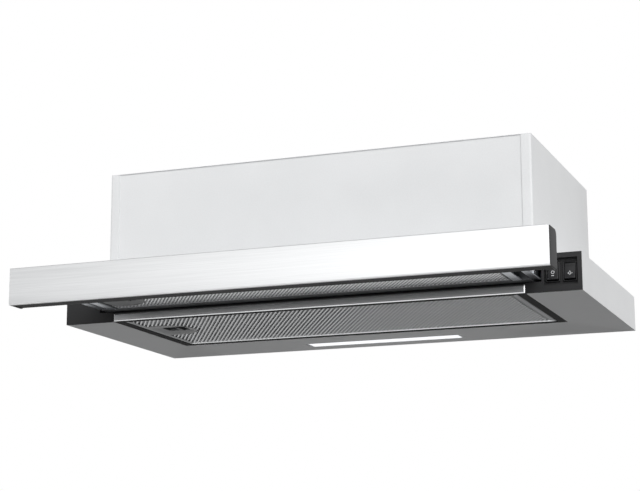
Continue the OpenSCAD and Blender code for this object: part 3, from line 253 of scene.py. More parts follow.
finishes = {
    # Powder-coated sheet steel: near-white, a soft sheen and a faint orange peel of about 1.5 mm
    "powderCoatedSteel": {"dark": "d2d3d4", "light": "d9dadb", "rough": (0.5, 0.6), "grainMm": (1.6, 1.6, 1.6),
                          "bump": 0.05, "specular": 0.25, "edgeMm": 0.5},
    # Stainless steel brushed along the panel: fine lines; the real 0.2 mm lines are drawn 0.9 mm apart to show
    "brushedStainless": {"dark": "d6d7d8", "light": "e6e7e8", "metallic": 1.0, "rough": (0.28, 0.36),
                         "grainMm": (90, 0.9, 0.9), "bump": 0.03, "cloudMm": (220, 50, 9), "cloudShare": 0.35},
    # The strip under the visor: the same steel with a finer, satin polish
    "polishedStainless": {"dark": "d2d3d4", "light": "d8d9da", "metallic": 1.0, "rough": (0.42, 0.46),
                          "grainMm": (60, 0.8, 0.8), "bump": 0.0},
    # The strip's coined rim: the same steel pressed smooth, so it draws a bright line
    "coinedStainless": {"dark": "c4c5c6", "light": "c9cacb", "metallic": 1.0, "rough": (0.16, 0.2),
                        "grainMm": (60, 0.8, 0.8), "bump": 0.0},
    # Hot-dip galvanised sheet: dull grey with a spangle of about 12 mm
    "galvanisedSheet": {"dark": "9b9ea1", "light": "b9bcbe", "metallic": 0.9, "rough": (0.34, 0.5),
                        "grainMm": (12, 12, 12), "bump": 0.04, "edgeMm": 0.3},
    # Zinc-plated, roll-formed runner: bright, smooth, drawn lines along its length
    "zincPlatedRunner": {"dark": "e0e3e8", "light": "e8ebf0", "metallic": 0.8, "rough": (0.34, 0.4),
                         "grainMm": (0.8, 70, 0.8), "bump": 0.0, "edgeMm": 0.3},
    # The visor's rear bar: moulded in grey ABS, a soft grain
    "darkGreyAbs": {"dark": "5e6062", "light": "66686a", "rough": (0.42, 0.5), "grainMm": (0.8, 0.8, 0.8),
                    "bump": 0.04, "edgeMm": 0.4},
    # Zinc-plated screws and the turned shaft: small and bright
    "zincPlatedScrew": {"dark": "b4b6b8", "light": "cfd1d3", "metallic": 1.0, "rough": (0.22, 0.34),
                        "grainMm": (0.6, 0.6, 0.6), "bump": 0.05, "edgeMm": 0.2},
    # Injection-moulded black ABS with a spark-eroded grain of about 0.8 mm
    "mouldedBlackAbs": {"dark": "242425", "light": "2b2b2c", "rough": (0.58, 0.7), "grainMm": (0.8, 0.8, 0.8),
                        "bump": 0.08, "specular": 0.28, "edgeMm": 0.4},
    # The strip round the large filter: soft TPE, a duller black; the same black on both filters' front bars is
    # painted shade
    "softBlackTpe": {"dark": "161617", "light": "1b1b1c", "rough": (0.7, 0.8), "grainMm": (0.8, 0.8, 0.8),
                     "bump": 0.05, "specular": 0.2, "edgeMm": 0.3},
    # End caps in charcoal ABS, a little lighter and smoother
    "mouldedCharcoalAbs": {"dark": "262628", "light": "2e2e30", "rough": (0.48, 0.58),
                           "grainMm": (0.8, 0.8, 0.8), "bump": 0.06, "specular": 0.3},
    # The large filter's rear bar: rolled aluminium strip, faint lines along the hood
    "rolledAluminium": {"dark": "d6d8da", "light": "e2e3e4", "metallic": 0.9, "rough": (0.28, 0.34),
                        "grainMm": (40, 1.2, 1.2), "bump": 0.01},
    # The large filter's inner layers: the same mesh stacked, seen as one soft surface
    "stackedAluminium": {"dark": "c4c6c8", "light": "ced0d2", "metallic": 0.6, "rough": (0.4, 0.48),
                         "grainMm": (2, 2, 2), "bump": 0.02},
    # Strands of the large filter: expanded aluminium rolled flat, with a soft sheen
    "flattenedAluminium": {"dark": "cacbcc", "light": "d4d5d6", "metallic": 0.9, "rough": (0.36, 0.42),
                           "grainMm": (3, 3, 3), "bump": 0.0},
    # Strands of the small filter: expanded aluminium as slit, bright and clean
    "expandedAluminium": {"dark": "f2f3f4", "light": "f8f9fa", "metallic": 0.9, "rough": (0.3, 0.36),
                          "grainMm": (3, 3, 3), "bump": 0.0},
    # The frames' bars that face down, and the small filter's inner layers: aluminium strip darkened to a mid
    # grey as painted shade
    "dullAluminium": {"dark": "77797b", "light": "838587", "metallic": 0.9, "rough": (0.4, 0.48),
                      "grainMm": (40, 1.2, 1.2), "bump": 0.01},
    # Filter handles: grey ABS, smooth
    "mouldedGreyAbs": {"dark": "707274", "light": "797b7d", "rough": (0.38, 0.46), "grainMm": (0.8, 0.8, 0.8),
                       "bump": 0.03},
    # Latches: acetal, dark and slippery
    "acetalLatch": {"dark": "3e3f40", "light": "464748", "rough": (0.45, 0.52), "grainMm": (0.8, 0.8, 0.8),
                    "bump": 0.03},
    # Blower shell and wheel: flame-retardant grey polypropylene
    "greyPolypropylene": {"dark": "86888a", "light": "939597", "rough": (0.42, 0.54),
                          "grainMm": (1.5, 1.5, 1.5), "bump": 0.05, "edgeMm": 0.4},
    # Motor: die-cast aluminium, a satin grain
    "dieCastAluminium": {"dark": "8f9193", "light": "a6a8aa", "metallic": 0.9, "rough": (0.42, 0.55),
                         "grainMm": (0.9, 0.9, 0.9), "bump": 0.1, "edgeMm": 0.5},
    # Capacitor, terminal box and lamp driver: white flame-retardant nylon
    "whiteNylon": {"dark": "d8d8d3", "light": "e2e2dd", "rough": (0.36, 0.46), "grainMm": (1.2, 1.2, 1.2),
                   "bump": 0.05, "edgeMm": 0.4},
    # Switches: black polycarbonate, smoother than the fascia
    "glossBlackPolycarbonate": {"dark": "141416", "light": "19191b", "rough": (0.26, 0.34), "specular": 0.35,
                                "grainMm": (2.5, 2.5, 2.5), "bump": 0.02, "edgeMm": 0.3},
    # Circuit board under white solder mask
    "whiteSolderMask": {"dark": "ecece8", "light": "f6f6f2", "rough": (0.3, 0.4), "grainMm": (4, 4, 4),
                        "bump": 0.02},
    # Lamp lens: opal polycarbonate, lit from behind by its diodes
    "opalPolycarbonate": {"dark": "f2f4f6", "light": "fbfcfd", "rough": (0.3, 0.4), "grainMm": (2, 2, 2),
                          "bump": 0.02, "glow": "fbfdff", "glowPower": 0.76},
    # The lens's rim: the same plastic, unlit
    "opalRim": {"dark": "c6c8ca", "light": "cecfd1", "rough": (0.4, 0.5), "grainMm": (2, 2, 2), "bump": 0.02},
    # Pad-printed marks on the keys: matt white ink
    "padPrintedInk": {"dark": "c9cacb", "light": "d6d7d8", "rough": (0.5, 0.6), "grainMm": (0.5, 0.5, 0.5),
                      "bump": 0.02},
}
finish = {name: makeFinish(name, values) for name, values in finishes.items()}

dressing = {
    "powderCoatedSteel": ["base_pan", "casing_shell", "casing_front"],
    "brushedStainless": ["front_panel"],
    "polishedStainless": ["front_trim"],
    "galvanisedSheet": ["runner_bracket_left", "runner_bracket_right", "motor_bracket", "capacitor_clip",
                        "lamp_housing", "visor_cover"],
    "zincPlatedRunner": ["visor_arm_left", "visor_arm_right", "runner_left_fixed", "runner_right_fixed",
                         "runner_left_moving", "runner_right_moving", "ball_cage_left", "ball_cage_right"],
    "zincPlatedScrew": ["body_screws", "collar_screws", "bracket_screws", "panel_screws", "runner_screws",
                        "motor_shaft"],
    "mouldedBlackAbs": ["fascia_left", "fascia_right", "panel_carrier", "visor_front_bar", "duct_collar",
                        "cable_gland"],
    "softBlackTpe": ["filter_surround"],
    "darkGreyAbs": ["visor_crossbar"],
    "mouldedCharcoalAbs": ["end_cap_left", "end_cap_right", "flap_left", "flap_right"],
    "rolledAluminium": ["main_filter_frame"],
    "dullAluminium": ["visor_filter_frame"],
    "flattenedAluminium": ["main_filter_mesh"],
    "expandedAluminium": ["visor_filter_mesh"],
    "mouldedGreyAbs": ["main_filter_handle", "visor_filter_handle"],
    "acetalLatch": ["main_filter_latch", "visor_filter_latch"],
    "greyPolypropylene": ["scroll_left", "scroll_right", "impeller"],
    "dieCastAluminium": ["motor_housing"],
    "whiteNylon": ["capacitor", "terminal_box", "terminal_box_lid", "led_driver"],
    "glossBlackPolycarbonate": ["fan_switch_body", "light_switch_body", "fan_rocker", "light_rocker"],
    "whiteSolderMask": ["led_board"],
    "opalPolycarbonate": ["lamp_lens"],
}
for finishName, nodeNames in dressing.items():
    for nodeName in nodeNames:
        node = frame["nodes"][nodeName]
        node.data.materials.clear()
        node.data.materials.append(finish[finishName])
print("finishes made:", len(finish))

# folds and bevel in mm, from the foot up; inside, the bevel is larger by the sheet over bevelShare
panel = {"folds": (0.3, 0.08, 0.9), "bevel": (0.75, 1.4), "bevelShare": 3, "leastFold": 0.05 * mm,
         "sheet": 0.6 * mm, "hem": 2.6 * mm, "overCap": 1.4 * mm, "arcSteps": 6}


# steel skin: a path up the front with rounded folds and a bevel at its foot, and its offset by the sheet,
# together carried along X
def panelSkin(values):
    low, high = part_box("front_panel")

    def path(inset):
        back, up = np.array(values["bevel"]) * mm + inset / values["bevelShare"]
        front, foot, top = low.y + inset, low.z + inset, high.z - inset
        corners = [(low.y + values["hem"], foot), (low.y + back, foot), (front, low.z + up), (front, top),
                   (high.y, top)]
        radii = np.maximum(np.array(values["folds"]) * mm - inset, values["leastFold"])
        return foldedPath(corners, radii, values["arcSteps"])

    section = np.concatenate([path(0), path(values["sheet"])[::-1]])
    skin = loft([onPlane(section, "X", x) for x in (low.x - values["overCap"], high.x + values["overCap"])])
    meshPiece("panel_skin", [skin], "brushedStainless", "visor", ["front_panel"])


panelSkin(panel)
print("panel skin made")

endCap = {"plate": 1.8 * mm, "fold": 1.4 * mm, "rear": 6 * mm, "edge": 1.1 * mm, "round": 0.8 * mm,
          "lead": 6 * mm, "arcSteps": 8, "behindSkin": 0.65 * mm, "plugWall": 2 * mm, "plugFront": 3 * mm,
          "plugRear": 7.8 * mm, "plugHeight": 2.9 * mm, "plugCorner": 0.6 * mm}


# moulded cap: a slab with two small and two large corners, its rim a quarter ellipse that is long at the front
# (x = out - e (1 - sin a), y = front + (lead + r) (1 - cos a)), and a hollow plug behind it
def makeEndCap(side, values):
    name = "end_cap_" + side
    low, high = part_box(name)
    sign, outer, inner = (1, high.x, low.x) if side == "right" else (-1, low.x, high.x)
    front, midZ = low.y + values["behindSkin"], (low.z + high.z) / 2
    half = np.array([(high.y - front) / 2, (high.z - low.z) / 2])
    corner = np.array([values["rear"], values["fold"], values["fold"], values["rear"]])
    back = outer - sign * values["plate"]
    a = quarterTurn(values["arcSteps"])
    steps = [(0, 0, back)] + list(zip(values["round"] * (1 - np.cos(a)), values["lead"] * (1 - np.cos(a)) / 2,
                                      outer - sign * values["edge"] * (1 - np.sin(a))))
    midY = (front + high.y) / 2
    plate = loft([onPlane(roundedRectangle((midY + lead, midZ), half - i - [lead, 0], corner - i), "X", x)
                  for i, lead, x in steps])
    y0, y1, wall = low.y + values["plugFront"], high.y - values["plugRear"], values["plugWall"]
    plugHalf = np.array([(y1 - y0) / 2, half[1] - values["plugHeight"]])
    plug = loft([onPlane(roundedRectangle(((y0 + y1) / 2, midZ), plugHalf - i, values["plugCorner"]), "X", x)
                 for i, x in ((wall, back), (wall, inner), (0, inner), (0, back))], ring=True)
    meshPiece(name + "_moulded", [plate, plug], "mouldedCharcoalAbs", "visor", [name])


for side in ("left", "right"):
    makeEndCap(side, endCap)
print("end caps made")

trim = {"rim": 1.5 * mm, "slope": 1.1 * mm, "slopeRise": 0.5 * mm, "seat": 0.4 * mm, "crown": 0.12 * mm,
        "steps": 9}


# strip under the visor: a coined rim that slopes outwards by rise / slope, and inside it a field crowned by
# c (1 - t^2)
def makeTrim(values):
    low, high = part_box("front_trim")
    middle, half = ((low.x + high.x) / 2, (low.z + high.z) / 2), ((high.x - low.x) / 2, (high.z - low.z) / 2)
    seat, rim = low.y + values["seat"], values["rim"]
    profile = [(0, high.y), (0, low.y + values["slopeRise"]), (values["slope"], low.y), (rim, seat),
               (rim, high.y)]
    edge = loft(cornerRows(middle, half, profile, "Y"), ring=True)
    meshPiece("trim_rim", [edge], "coinedStainless", "hood", ["front_trim"], sharpAngle=20)
    t = np.linspace(-1, 1, values["steps"])
    fieldHalf = half[1] - rim
    arc = np.column_stack([seat - values["crown"] * (1 - t ** 2), middle[1] + t * fieldHalf])
    section = np.concatenate([arc, [(high.y, middle[1] + fieldHalf), (high.y, middle[1] - fieldHalf)]])
    field = loft([onPlane(section, "X", x) for x in (rim - half[0], half[0] - rim)])
    meshPiece("trim_strip", [field], "polishedStainless", "hood", ["front_trim"])


makeTrim(trim)
print("trim made")

# each bar's finish and the width of its land in mm, in order round the frame; the black front bars and the
# darkened aluminium bars are painted shade
filterFrame = {"border": 10 * mm, "sheet": 0.8 * mm, "fold": 0.9 * mm, "chamfer": 0.35 * mm, "wallUp": 1.7 * mm,
               "slopeIn": 0.9 * mm, "mitreGap": 0.12 * mm, "arcSteps": 5,
               "pinReach": {"main": 4.6 * mm, "visor": 3.3 * mm}, "pinRadius": 1.4 * mm, "pinIn": 1.2 * mm,
               "pinUp": 1.6 * mm, "pinRoot": 5.4 * mm,
               "main": {"rear": ("rolledAluminium", 1.3), "left": ("dullAluminium", 6),
                        "front": ("softBlackTpe", 4.5), "right": ("dullAluminium", 6)},
               "visor": {"rear": ("dullAluminium", 0.7), "left": ("dullAluminium", 1.3),
                         "front": ("softBlackTpe", 8.5), "right": ("dullAluminium", 1.3)}}


# folded channel: a C profile with a land below, a wall that slopes inwards behind it and a fold above that is a
# quarter circle (u = r (1 - cos a), v = height - r (1 - sin a)), one mitred bar for each side; the front bar is
# black as painted shade, the bars in darkened aluminium are painted shade too, and two pins are the hinge
def makeFilterFrame(which, values):
    name, body = which + "_filter_frame", which + "_filter"
    low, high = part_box(name)
    height, border, sheet, fold = high.z - low.z, values["border"], values["sheet"], values["fold"]
    up, chamfer, pinReach = values["wallUp"], values["chamfer"], values["pinReach"][which]
    y0, y1 = low.y + pinReach, high.y - pinReach
    a = quarterTurn(values["arcSteps"])
    bars = {}
    for k, (finishName, width) in enumerate(values[which].values()):
        land = width * mm
        inner = land + values["slopeIn"]
        profile = np.concatenate([
            [(inner, up), (land, 0), (chamfer, 0), (0, chamfer)],
            np.column_stack([fold * (1 - np.cos(a)), height - fold * (1 - np.sin(a))]),
            [(border, height), (border, height - sheet), (sheet, height - sheet), (sheet, up + sheet / 2),
             (inner, up + sheet / 2)]])
        profile[:, 1] += low.z
        rows = cornerRows((0, (y0 + y1) / 2), (-low.x, (y1 - y0) / 2), profile, "Z")
        start, end = rows[k], rows[(k + 1) % 4]
        along = (end - start)[0] / np.linalg.norm((end - start)[0]) * values["mitreGap"] / 2
        bars.setdefault(finishName, []).append(loft([start + along, end - along]))
    if "rolledAluminium" in bars:
        meshPiece(name + "_rear_bar", bars["rolledAluminium"], "rolledAluminium", body,
                  [name])
    meshPiece(name + "_seal", bars["softBlackTpe"], "softBlackTpe", body)
    hinge, pinRoot = (-low.x - values["pinIn"], low.z + values["pinUp"]), values["pinRoot"]
    pins = [roundBar(hinge, values["pinRadius"], "Y", end, root)
            for end, root in ((low.y, low.y + pinRoot), (high.y - pinRoot, high.y))]
    meshPiece(name + "_folded", bars["dullAluminium"] + pins, "dullAluminium", body, [name])


# the dish is pairs of the share of the way from the outline to the opening and the height in mm
handle = {"plate": 2 * mm, "length": 43 * mm, "toRim": 6 * mm, "openingX": (5.0 * mm, 32.4 * mm),
          "openingHalf": 11.2 * mm, "square": 9, "sides": 96, "cupHalf": 13.6 * mm, "cupWall": 1 * mm,
          "cupEnd": 33.4 * mm, "cupUp": 4.2 * mm, "cupSink": 0.1 * mm, "cupCorner": 0.1 * mm,
          "cupEdge": 0.05 * mm,
          "dish": ((0, 2.0), (0, 0.7), (0.012, 0.2), (0.05, 0), (0.2, 0.12), (0.4, 0.45), (0.62, 0.95),
                   (0.84, 1.35), (0.96, 1.5), (1.0, 1.62), (1.0, 2.0))}


# centre and radius of the plate's round outline through its two corners: r = (length^2 + half^2) / (2 length)
def plateCircle(which):
    low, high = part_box(which + "_filter_handle")
    halfWide, length = (high.y - low.y) / 2, handle["length"]
    radius = (length ** 2 + halfWide ** 2) / (2 * length)
    return np.array([high.x - radius, (low.y + high.y) / 2]), radius


# finger plate: distance from the opening's middle goes from the round outline, cut off at the frame, to the
# opening (|x/a|^p + |y/b|^p)^(-1/p), while the height follows the dish; a cup over it is open to the latch
def makeHandle(which, values):
    name = which + "_filter_handle"
    low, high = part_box(name)
    centre, radius = plateCircle(which)
    x0, x1 = values["openingX"]
    middle = np.array([low.x + (x0 + x1) / 2, centre[1]])
    ray = unitCircle(values["sides"])
    offset = middle - centre
    reach = -ray @ offset + np.sqrt((ray @ offset) ** 2 - offset @ offset + radius ** 2)
    toFrame = (low.x - values["toRim"] - middle[0]) / np.minimum(ray[:, 0], -least)
    outer = np.where(ray[:, 0] < -least, np.minimum(reach, toFrame), reach)
    p, openHalf = values["square"], np.array([(x1 - x0) / 2, values["openingHalf"]])
    inner = (np.abs(ray / openHalf) ** p).sum(axis=1) ** (-1 / p)
    rows = [onPlane(middle + ray * (outer + share * (inner - outer))[:, None], "Z", low.z + level * mm)
            for share, level in values["dish"]]
    end, wall, out = low.x + values["cupEnd"], values["cupWall"], values["cupHalf"]
    foot, roof = low.z + values["plate"] - values["cupSink"], low.z + values["cupUp"] + wall
    arch = np.array([(-out, foot), (-out, roof), (out, roof), (out, foot), (out - wall, foot),
                     (out - wall, roof - wall), (wall - out, roof - wall), (wall - out, foot)])
    cup = loft([onPlane(arch + [centre[1], 0], "X", x) for x in (low.x, end)])
    endWall = slab((centre[1], (foot + roof) / 2), (out, (roof - foot) / 2), values["cupCorner"], "X", end,
                   end + wall, values["cupEdge"])
    meshPiece(name + "_dished", [loft(rows, ring=True), cup, endWall], "mouldedGreyAbs", which + "_filter",
              [name])


# the small filter's inner layers take the darkened aluminium, painted shade in the mesh's gaps
weave = {"narrow": 0.6 * mm, "thick": 0.25 * mm, "lift": 0.1 * mm, "behind": 0.3 * mm, "margin": 0.6 * mm,
         "handleGap": 0.5 * mm, "pleat": 1.2 * mm, "pleatRise": 0.08 * mm, "innerUp": 0.9 * mm,
         "plateGap": 1 * mm,
         "main": {"finish": "flattenedAluminium", "inner": "stackedAluminium", "wide": 1.9 * mm,
                  "shortWay": 5.15 * mm, "longWay": 9.0 * mm, "tilt": 0.12},
         "visor": {"finish": "expandedAluminium", "inner": "dullAluminium", "wide": 1.4 * mm,
                   "shortWay": 4.3 * mm, "longWay": 6.9 * mm, "tilt": -0.25}}


# expanded mesh: knuckles on a staggered lattice (i short / 2, j long / 2), i + j odd; a flat strand joins each
# to the two ahead of it, tilted as slitting leaves it (z rises by the tilt across the strand); the wide strands
# lie in front of the narrow ones, and none crosses the handle's plate
def expandedMesh(which, values):
    low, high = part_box(which + "_filter_frame")
    own, lands = values[which], {side: bar[1] * mm for side, bar in filterFrame[which].items()}
    stepX, stepY = own["shortWay"] / 2, own["longWay"] / 2
    pinReach, margin = filterFrame["pinReach"][which], values["margin"]
    x0, x1 = low.x + lands["left"] + margin, high.x - lands["right"] - margin
    y0, y1 = low.y + pinReach + lands["front"] + margin, high.y - pinReach - lands["rear"] - margin
    countX, countY = int((x1 - x0) / stepX), int((y1 - y0) / stepY)
    i, j = np.meshgrid(np.arange(countX), np.arange(countY + 1), indexing="ij")
    keep = (i + j) % 2 == 1
    i, j = i[keep], j[keep]
    centre, radius = plateCircle(which)
    rings = []
    for side, width, up in ((-1, own["wide"], 0), (1, values["narrow"], values["behind"])):
        inside = (j + side >= 0) & (j + side <= countY)
        start = np.column_stack([x0 + i[inside] * stepX, y0 + j[inside] * stepY])
        middles = start + [stepX / 2, side * stepY / 2]
        start = start[np.linalg.norm(middles - centre, axis=1) - radius > values["handleGap"]]
        across = np.array([-side * stepY, stepX]) / math.hypot(stepX, stepY) * width / 2
        rise = own["tilt"] * width / 2
        base = low.z + values["lift"] + abs(own["tilt"]) * own["wide"] / 2 + up
        levels = [(s, base + s * rise + thick)
                  for s, thick in ((-1, 0), (1, 0), (1, values["thick"]), (-1, values["thick"]))]
        rings.append(np.stack([onPlane(point + s * across, "Z", level)
                               for point in (start, start + [stepX, side * stepY]) for s, level in levels],
                              axis=1).reshape(-1, 3))
    points = np.concatenate(rings)
    first = np.arange(len(points) // 8)[:, None] * 8      # each strand is a box of eight points
    box = ([0, 1, 5, 4], [1, 2, 6, 5], [2, 3, 7, 6], [3, 0, 4, 7], [0, 3, 2, 1], [4, 5, 6, 7])
    faces = np.concatenate([first + np.array(face) for face in box]).tolist()
    meshPiece(which + "_expanded_mesh", [(points, faces)], own["finish"], which + "_filter",
              [which + "_filter_mesh"], sharpAngle=0)


# layers behind: a pleated sheet whose underside is a triangle wave over X, carried along Y, round the handle
def innerLayers(which, values):
    low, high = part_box(which + "_filter_mesh")
    plateLow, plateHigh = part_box(which + "_filter_handle")
    m, gap = values["margin"], values["plateGap"]
    left, right, beside = low.x + m, high.x - m, plateHigh.x + gap
    skins = []
    for x0, x1, y0, y1 in ((beside, right, low.y + m, high.y - m), (left, beside, low.y + m, plateLow.y - gap),
                           (left, beside, plateHigh.y + gap, high.y - m)):
        xs = np.linspace(x0, x1, int((x1 - x0) / values["pleat"]))
        zs = low.z + values["innerUp"] + values["pleatRise"] * (np.arange(len(xs)) % 2)
        section = np.concatenate([np.column_stack([xs, zs]), [(x1, high.z), (x0, high.z)]])
        skins.append(loft([onPlane(section, "Y", y) for y in (y0, y1)]))
    meshPiece(which + "_mesh_inner", skins, values[which]["inner"], which + "_filter",
              sharpAngle=0)


for which in ("main", "visor"):
    makeFilterFrame(which, filterFrame)
    makeHandle(which, handle)
    expandedMesh(which, weave)
    innerLayers(which, weave)
print("filters made")

switch = {"bezelDepth": 2 * mm, "opening": (6.0, 9.2), "body": (6.9, 10.1), "corner": 0.9 * mm,
          "round": 0.7 * mm, "chamfer": 0.45 * mm, "arcSteps": 4, "tab": 7 * mm, "backWall": 4 * mm,
          "tabHalf": (2.4, 0.4), "tabPitch": 6 * mm, "tabSink": 0.2 * mm, "tabEdge": 0.1 * mm}


# rocker switch housing: rounded rectangles from the well's floor out over the bezel, rounded by a quarter
# circle (half - r (1 - sin a), front + r (1 - cos a)), and back round the body, with three tabs
def switchHousing(which, values):
    name = which + "_switch_body"
    low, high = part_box(name)
    middle = np.array([(low.x + high.x) / 2, (low.z + high.z) / 2])
    bezel = np.array([(high.x - low.x) / 2, (high.z - low.z) / 2])
    well, body, tabHalf = (np.array(values[key]) * mm for key in ("opening", "body", "tabHalf"))
    front, back, seat = low.y, high.y - values["tab"], low.y + values["bezelDepth"]
    r, c = values["round"], values["chamfer"]
    a = quarterTurn(values["arcSteps"])
    steps = [(well, back - values["backWall"]), (well, front + c), (well + c, front)]
    steps += [(bezel - r * (1 - s), front + r * (1 - k)) for s, k in zip(np.sin(a), np.cos(a))]
    steps += [(bezel, seat), (body, seat), (body, back)]
    skins = [loft([onPlane(roundedRectangle(middle, half, values["corner"], values["arcSteps"]), "Y", y)
                   for half, y in steps])]
    for k in (-1, 0, 1):
        skins.append(slab(middle + [0, k * values["tabPitch"]], tabHalf, values["tabEdge"], "Y",
                          back - values["tabSink"], high.y, values["tabEdge"]))
    meshPiece(name + "_moulded", skins, "glossBlackPolycarbonate", "hood", [name])


rocker = {"half": (5.8, 8.5), "front": 4.2 * mm, "dip": 1.1 * mm, "shoulder": -1.2 * mm, "back": 2.4 * mm,
          "nose": 2 * mm, "round": 0.6 * mm, "roundSteps": 4, "faceSteps": 15, "faceEnd": 0.97, "swing": 8,
          "pinRadius": 0.9 * mm, "pinHalf": 6.7 * mm}


# turns key points (x, depth, height) about the pivot by the swing: y = d cos s + h sin s, z = h cos s - d sin s
def tipped(points, which, values):
    joint = next(j for j in frame["joints"] if j["name"] == which + "_rocker_swing")
    s = math.radians(values["swing"])
    x, d, h = np.asarray(points, float).T
    turned = np.column_stack([x, d * math.cos(s) + h * math.sin(s), h * math.cos(s) - d * math.sin(s)])
    return turned + joint["pos_m"]


# depth of the key's hollow face at a height: -front + dip (1 - (h / half)^2)
def keyFace(height, values):
    return values["dip"] * (1 - (height / (values["half"][1] * mm)) ** 2) - values["front"]


# rocker key: a wedge with a hollow face, its outline drawn in at both sides by a quarter circle
def makeRocker(which, values):
    halfWide, halfHigh = np.array(values["half"]) * mm
    r = values["round"]
    h = np.linspace(-1, 1, values["faceSteps"])

    def section(inset):
        rounded = r * (np.abs(h) > values["faceEnd"])
        face = np.column_stack([keyFace(h * halfHigh, values) + inset + rounded, h * (halfHigh - inset)])
        back = [(values["shoulder"], halfHigh - inset), (values["back"], values["nose"]),
                (values["back"], -values["nose"]), (values["shoulder"], inset - halfHigh)]
        return np.concatenate([face, back])

    body = loft([tipped(onPlane(section(i), "X", x), which, values)
                 for i, x in roundedEnds(-halfWide, halfWide, r, values["roundSteps"])])
    points, faces = roundBar((0, 0), values["pinRadius"], "X", -values["pinHalf"], values["pinHalf"])
    meshPiece(which + "_rocker_key", [body, (tipped(points, which, values), faces)], "glossBlackPolycarbonate",
              which + "_key", [which + "_rocker"], sharpAngle=28)


ink = {"width": 0.5 * mm, "film": 0.05 * mm, "sides": 28, "ringAt": -0.5 * mm, "ringRadius": 1.5 * mm,
       "dashAt": -4.2 * mm, "dashHalf": 1.35 * mm, "dashWidth": 0.7 * mm, "lampAt": -2.6 * mm,
       "lampRadius": 1.35 * mm, "rays": (0, 90, 180), "ray": (2.15, 2.8)}


# printed stroke: each path point p gets p - w n / 2 and p + w n / 2, n square to the path, a film off the key
def inkStroke(path, width, closed, which):
    path = np.asarray(path, float)
    along = np.roll(path, -1, axis=0) - np.roll(path, 1, axis=0) if closed else np.gradient(path, axis=0)
    across = np.column_stack([-along[:, 1], along[:, 0]]) / np.linalg.norm(along, axis=1)[:, None] * width / 2
    rows = []
    for point, off in zip(path, across):
        edge = np.array([point - off, point + off, point + off, point - off])
        depth = keyFace(edge[:, 1], rocker) + np.array([-1, -1, 1, 1]) * ink["film"]
        rows.append(tipped(np.column_stack([edge[:, 0], depth, edge[:, 1]]), which, rocker))
    return loft(rows, ring=closed)


# marks: a ring c + r (cos a, sin a) over a dash on the fan key, a small ring with rays on the light key
def printMarks(values):
    circle, width = unitCircle(values["sides"]), values["width"]
    dash = [(x, values["dashAt"]) for x in (-values["dashHalf"], 0, values["dashHalf"])]
    skins = [inkStroke(circle * values["ringRadius"] + [0, values["ringAt"]], width, True, "fan"),
             inkStroke(dash, values["dashWidth"], False, "fan")]
    meshPiece("fan_key_marks", skins, "padPrintedInk", "fan_key")
    lampMiddle = np.array([0, values["lampAt"]])
    skins = [inkStroke(circle * values["lampRadius"] + lampMiddle, width, True, "light")]
    for turn in np.radians(values["rays"]):
        out = np.array([math.cos(turn), math.sin(turn)])
        reach = np.linspace(*values["ray"], 3)[:, None] * mm
        skins.append(inkStroke(reach * out + lampMiddle, width, False, "light"))
    meshPiece("light_key_marks", skins, "padPrintedInk", "light_key")


for which in ("fan", "light"):
    switchHousing(which, switch)
    makeRocker(which, rocker)
printMarks(ink)
print("switches made")

lens = {"flange": 4.3 * mm, "endFlange": 7 * mm, "flangeUp": 0.8 * mm, "corner": 1 * mm, "rib": 1.9 * mm,
        "ribDepth": 0.35 * mm, "stepsPerRib": 6}


# lamp lens: fine ribs z = d (1 - cos(2 pi y / rib)) / 2 along X on the window, inside a plain flange
def makeLens(values):
    low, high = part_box("lamp_lens")
    y0, y1, reach = low.y + values["flange"], high.y - values["flange"], high.x - values["endFlange"]
    count = round((y1 - y0) / values["rib"])
    y = np.linspace(y0, y1, count * values["stepsPerRib"] + 1)
    z = low.z + values["ribDepth"] * (1 - np.cos(2 * math.pi * count * (y - y0) / (y1 - y0))) / 2
    section = np.concatenate([np.column_stack([y, z]), [(y1, high.z), (y0, high.z)]])
    window = loft([onPlane(section, "X", x) for x in (-reach, reach)])
    middle, face = (0, (low.y + high.y) / 2), low.z + values["flangeUp"]
    inner, outer = (reach, (y1 - y0) / 2), (high.x, (high.y - low.y) / 2)
    rows = [onPlane(roundedRectangle(middle, half, values["corner"]), "Z", level)
            for half, level in ((inner, face), (outer, face), (outer, high.z), (inner, high.z))]
    flange = loft(rows, ring=True)
    meshPiece("lamp_lens_flange", [flange], "opalRim", "hood", ["lamp_lens"])
    meshPiece("lamp_lens_ribbed", [window], "opalPolycarbonate", "hood", ["lamp_lens"],
              sharpAngle=60)


makeLens(lens)
print("lamp lens made")

casing = {"fold": 2.2 * mm, "sheet": 0.8 * mm, "flange": 11 * mm, "foot": 12 * mm, "footFront": 14 * mm,
          "footGap": 0.2 * mm, "footCorner": 1 * mm, "footEdge": 0.1 * mm, "ductRadius": 57.5 * mm,
          "ductSides": 72, "glandRadius": 8.05 * mm, "glandSides": 24}


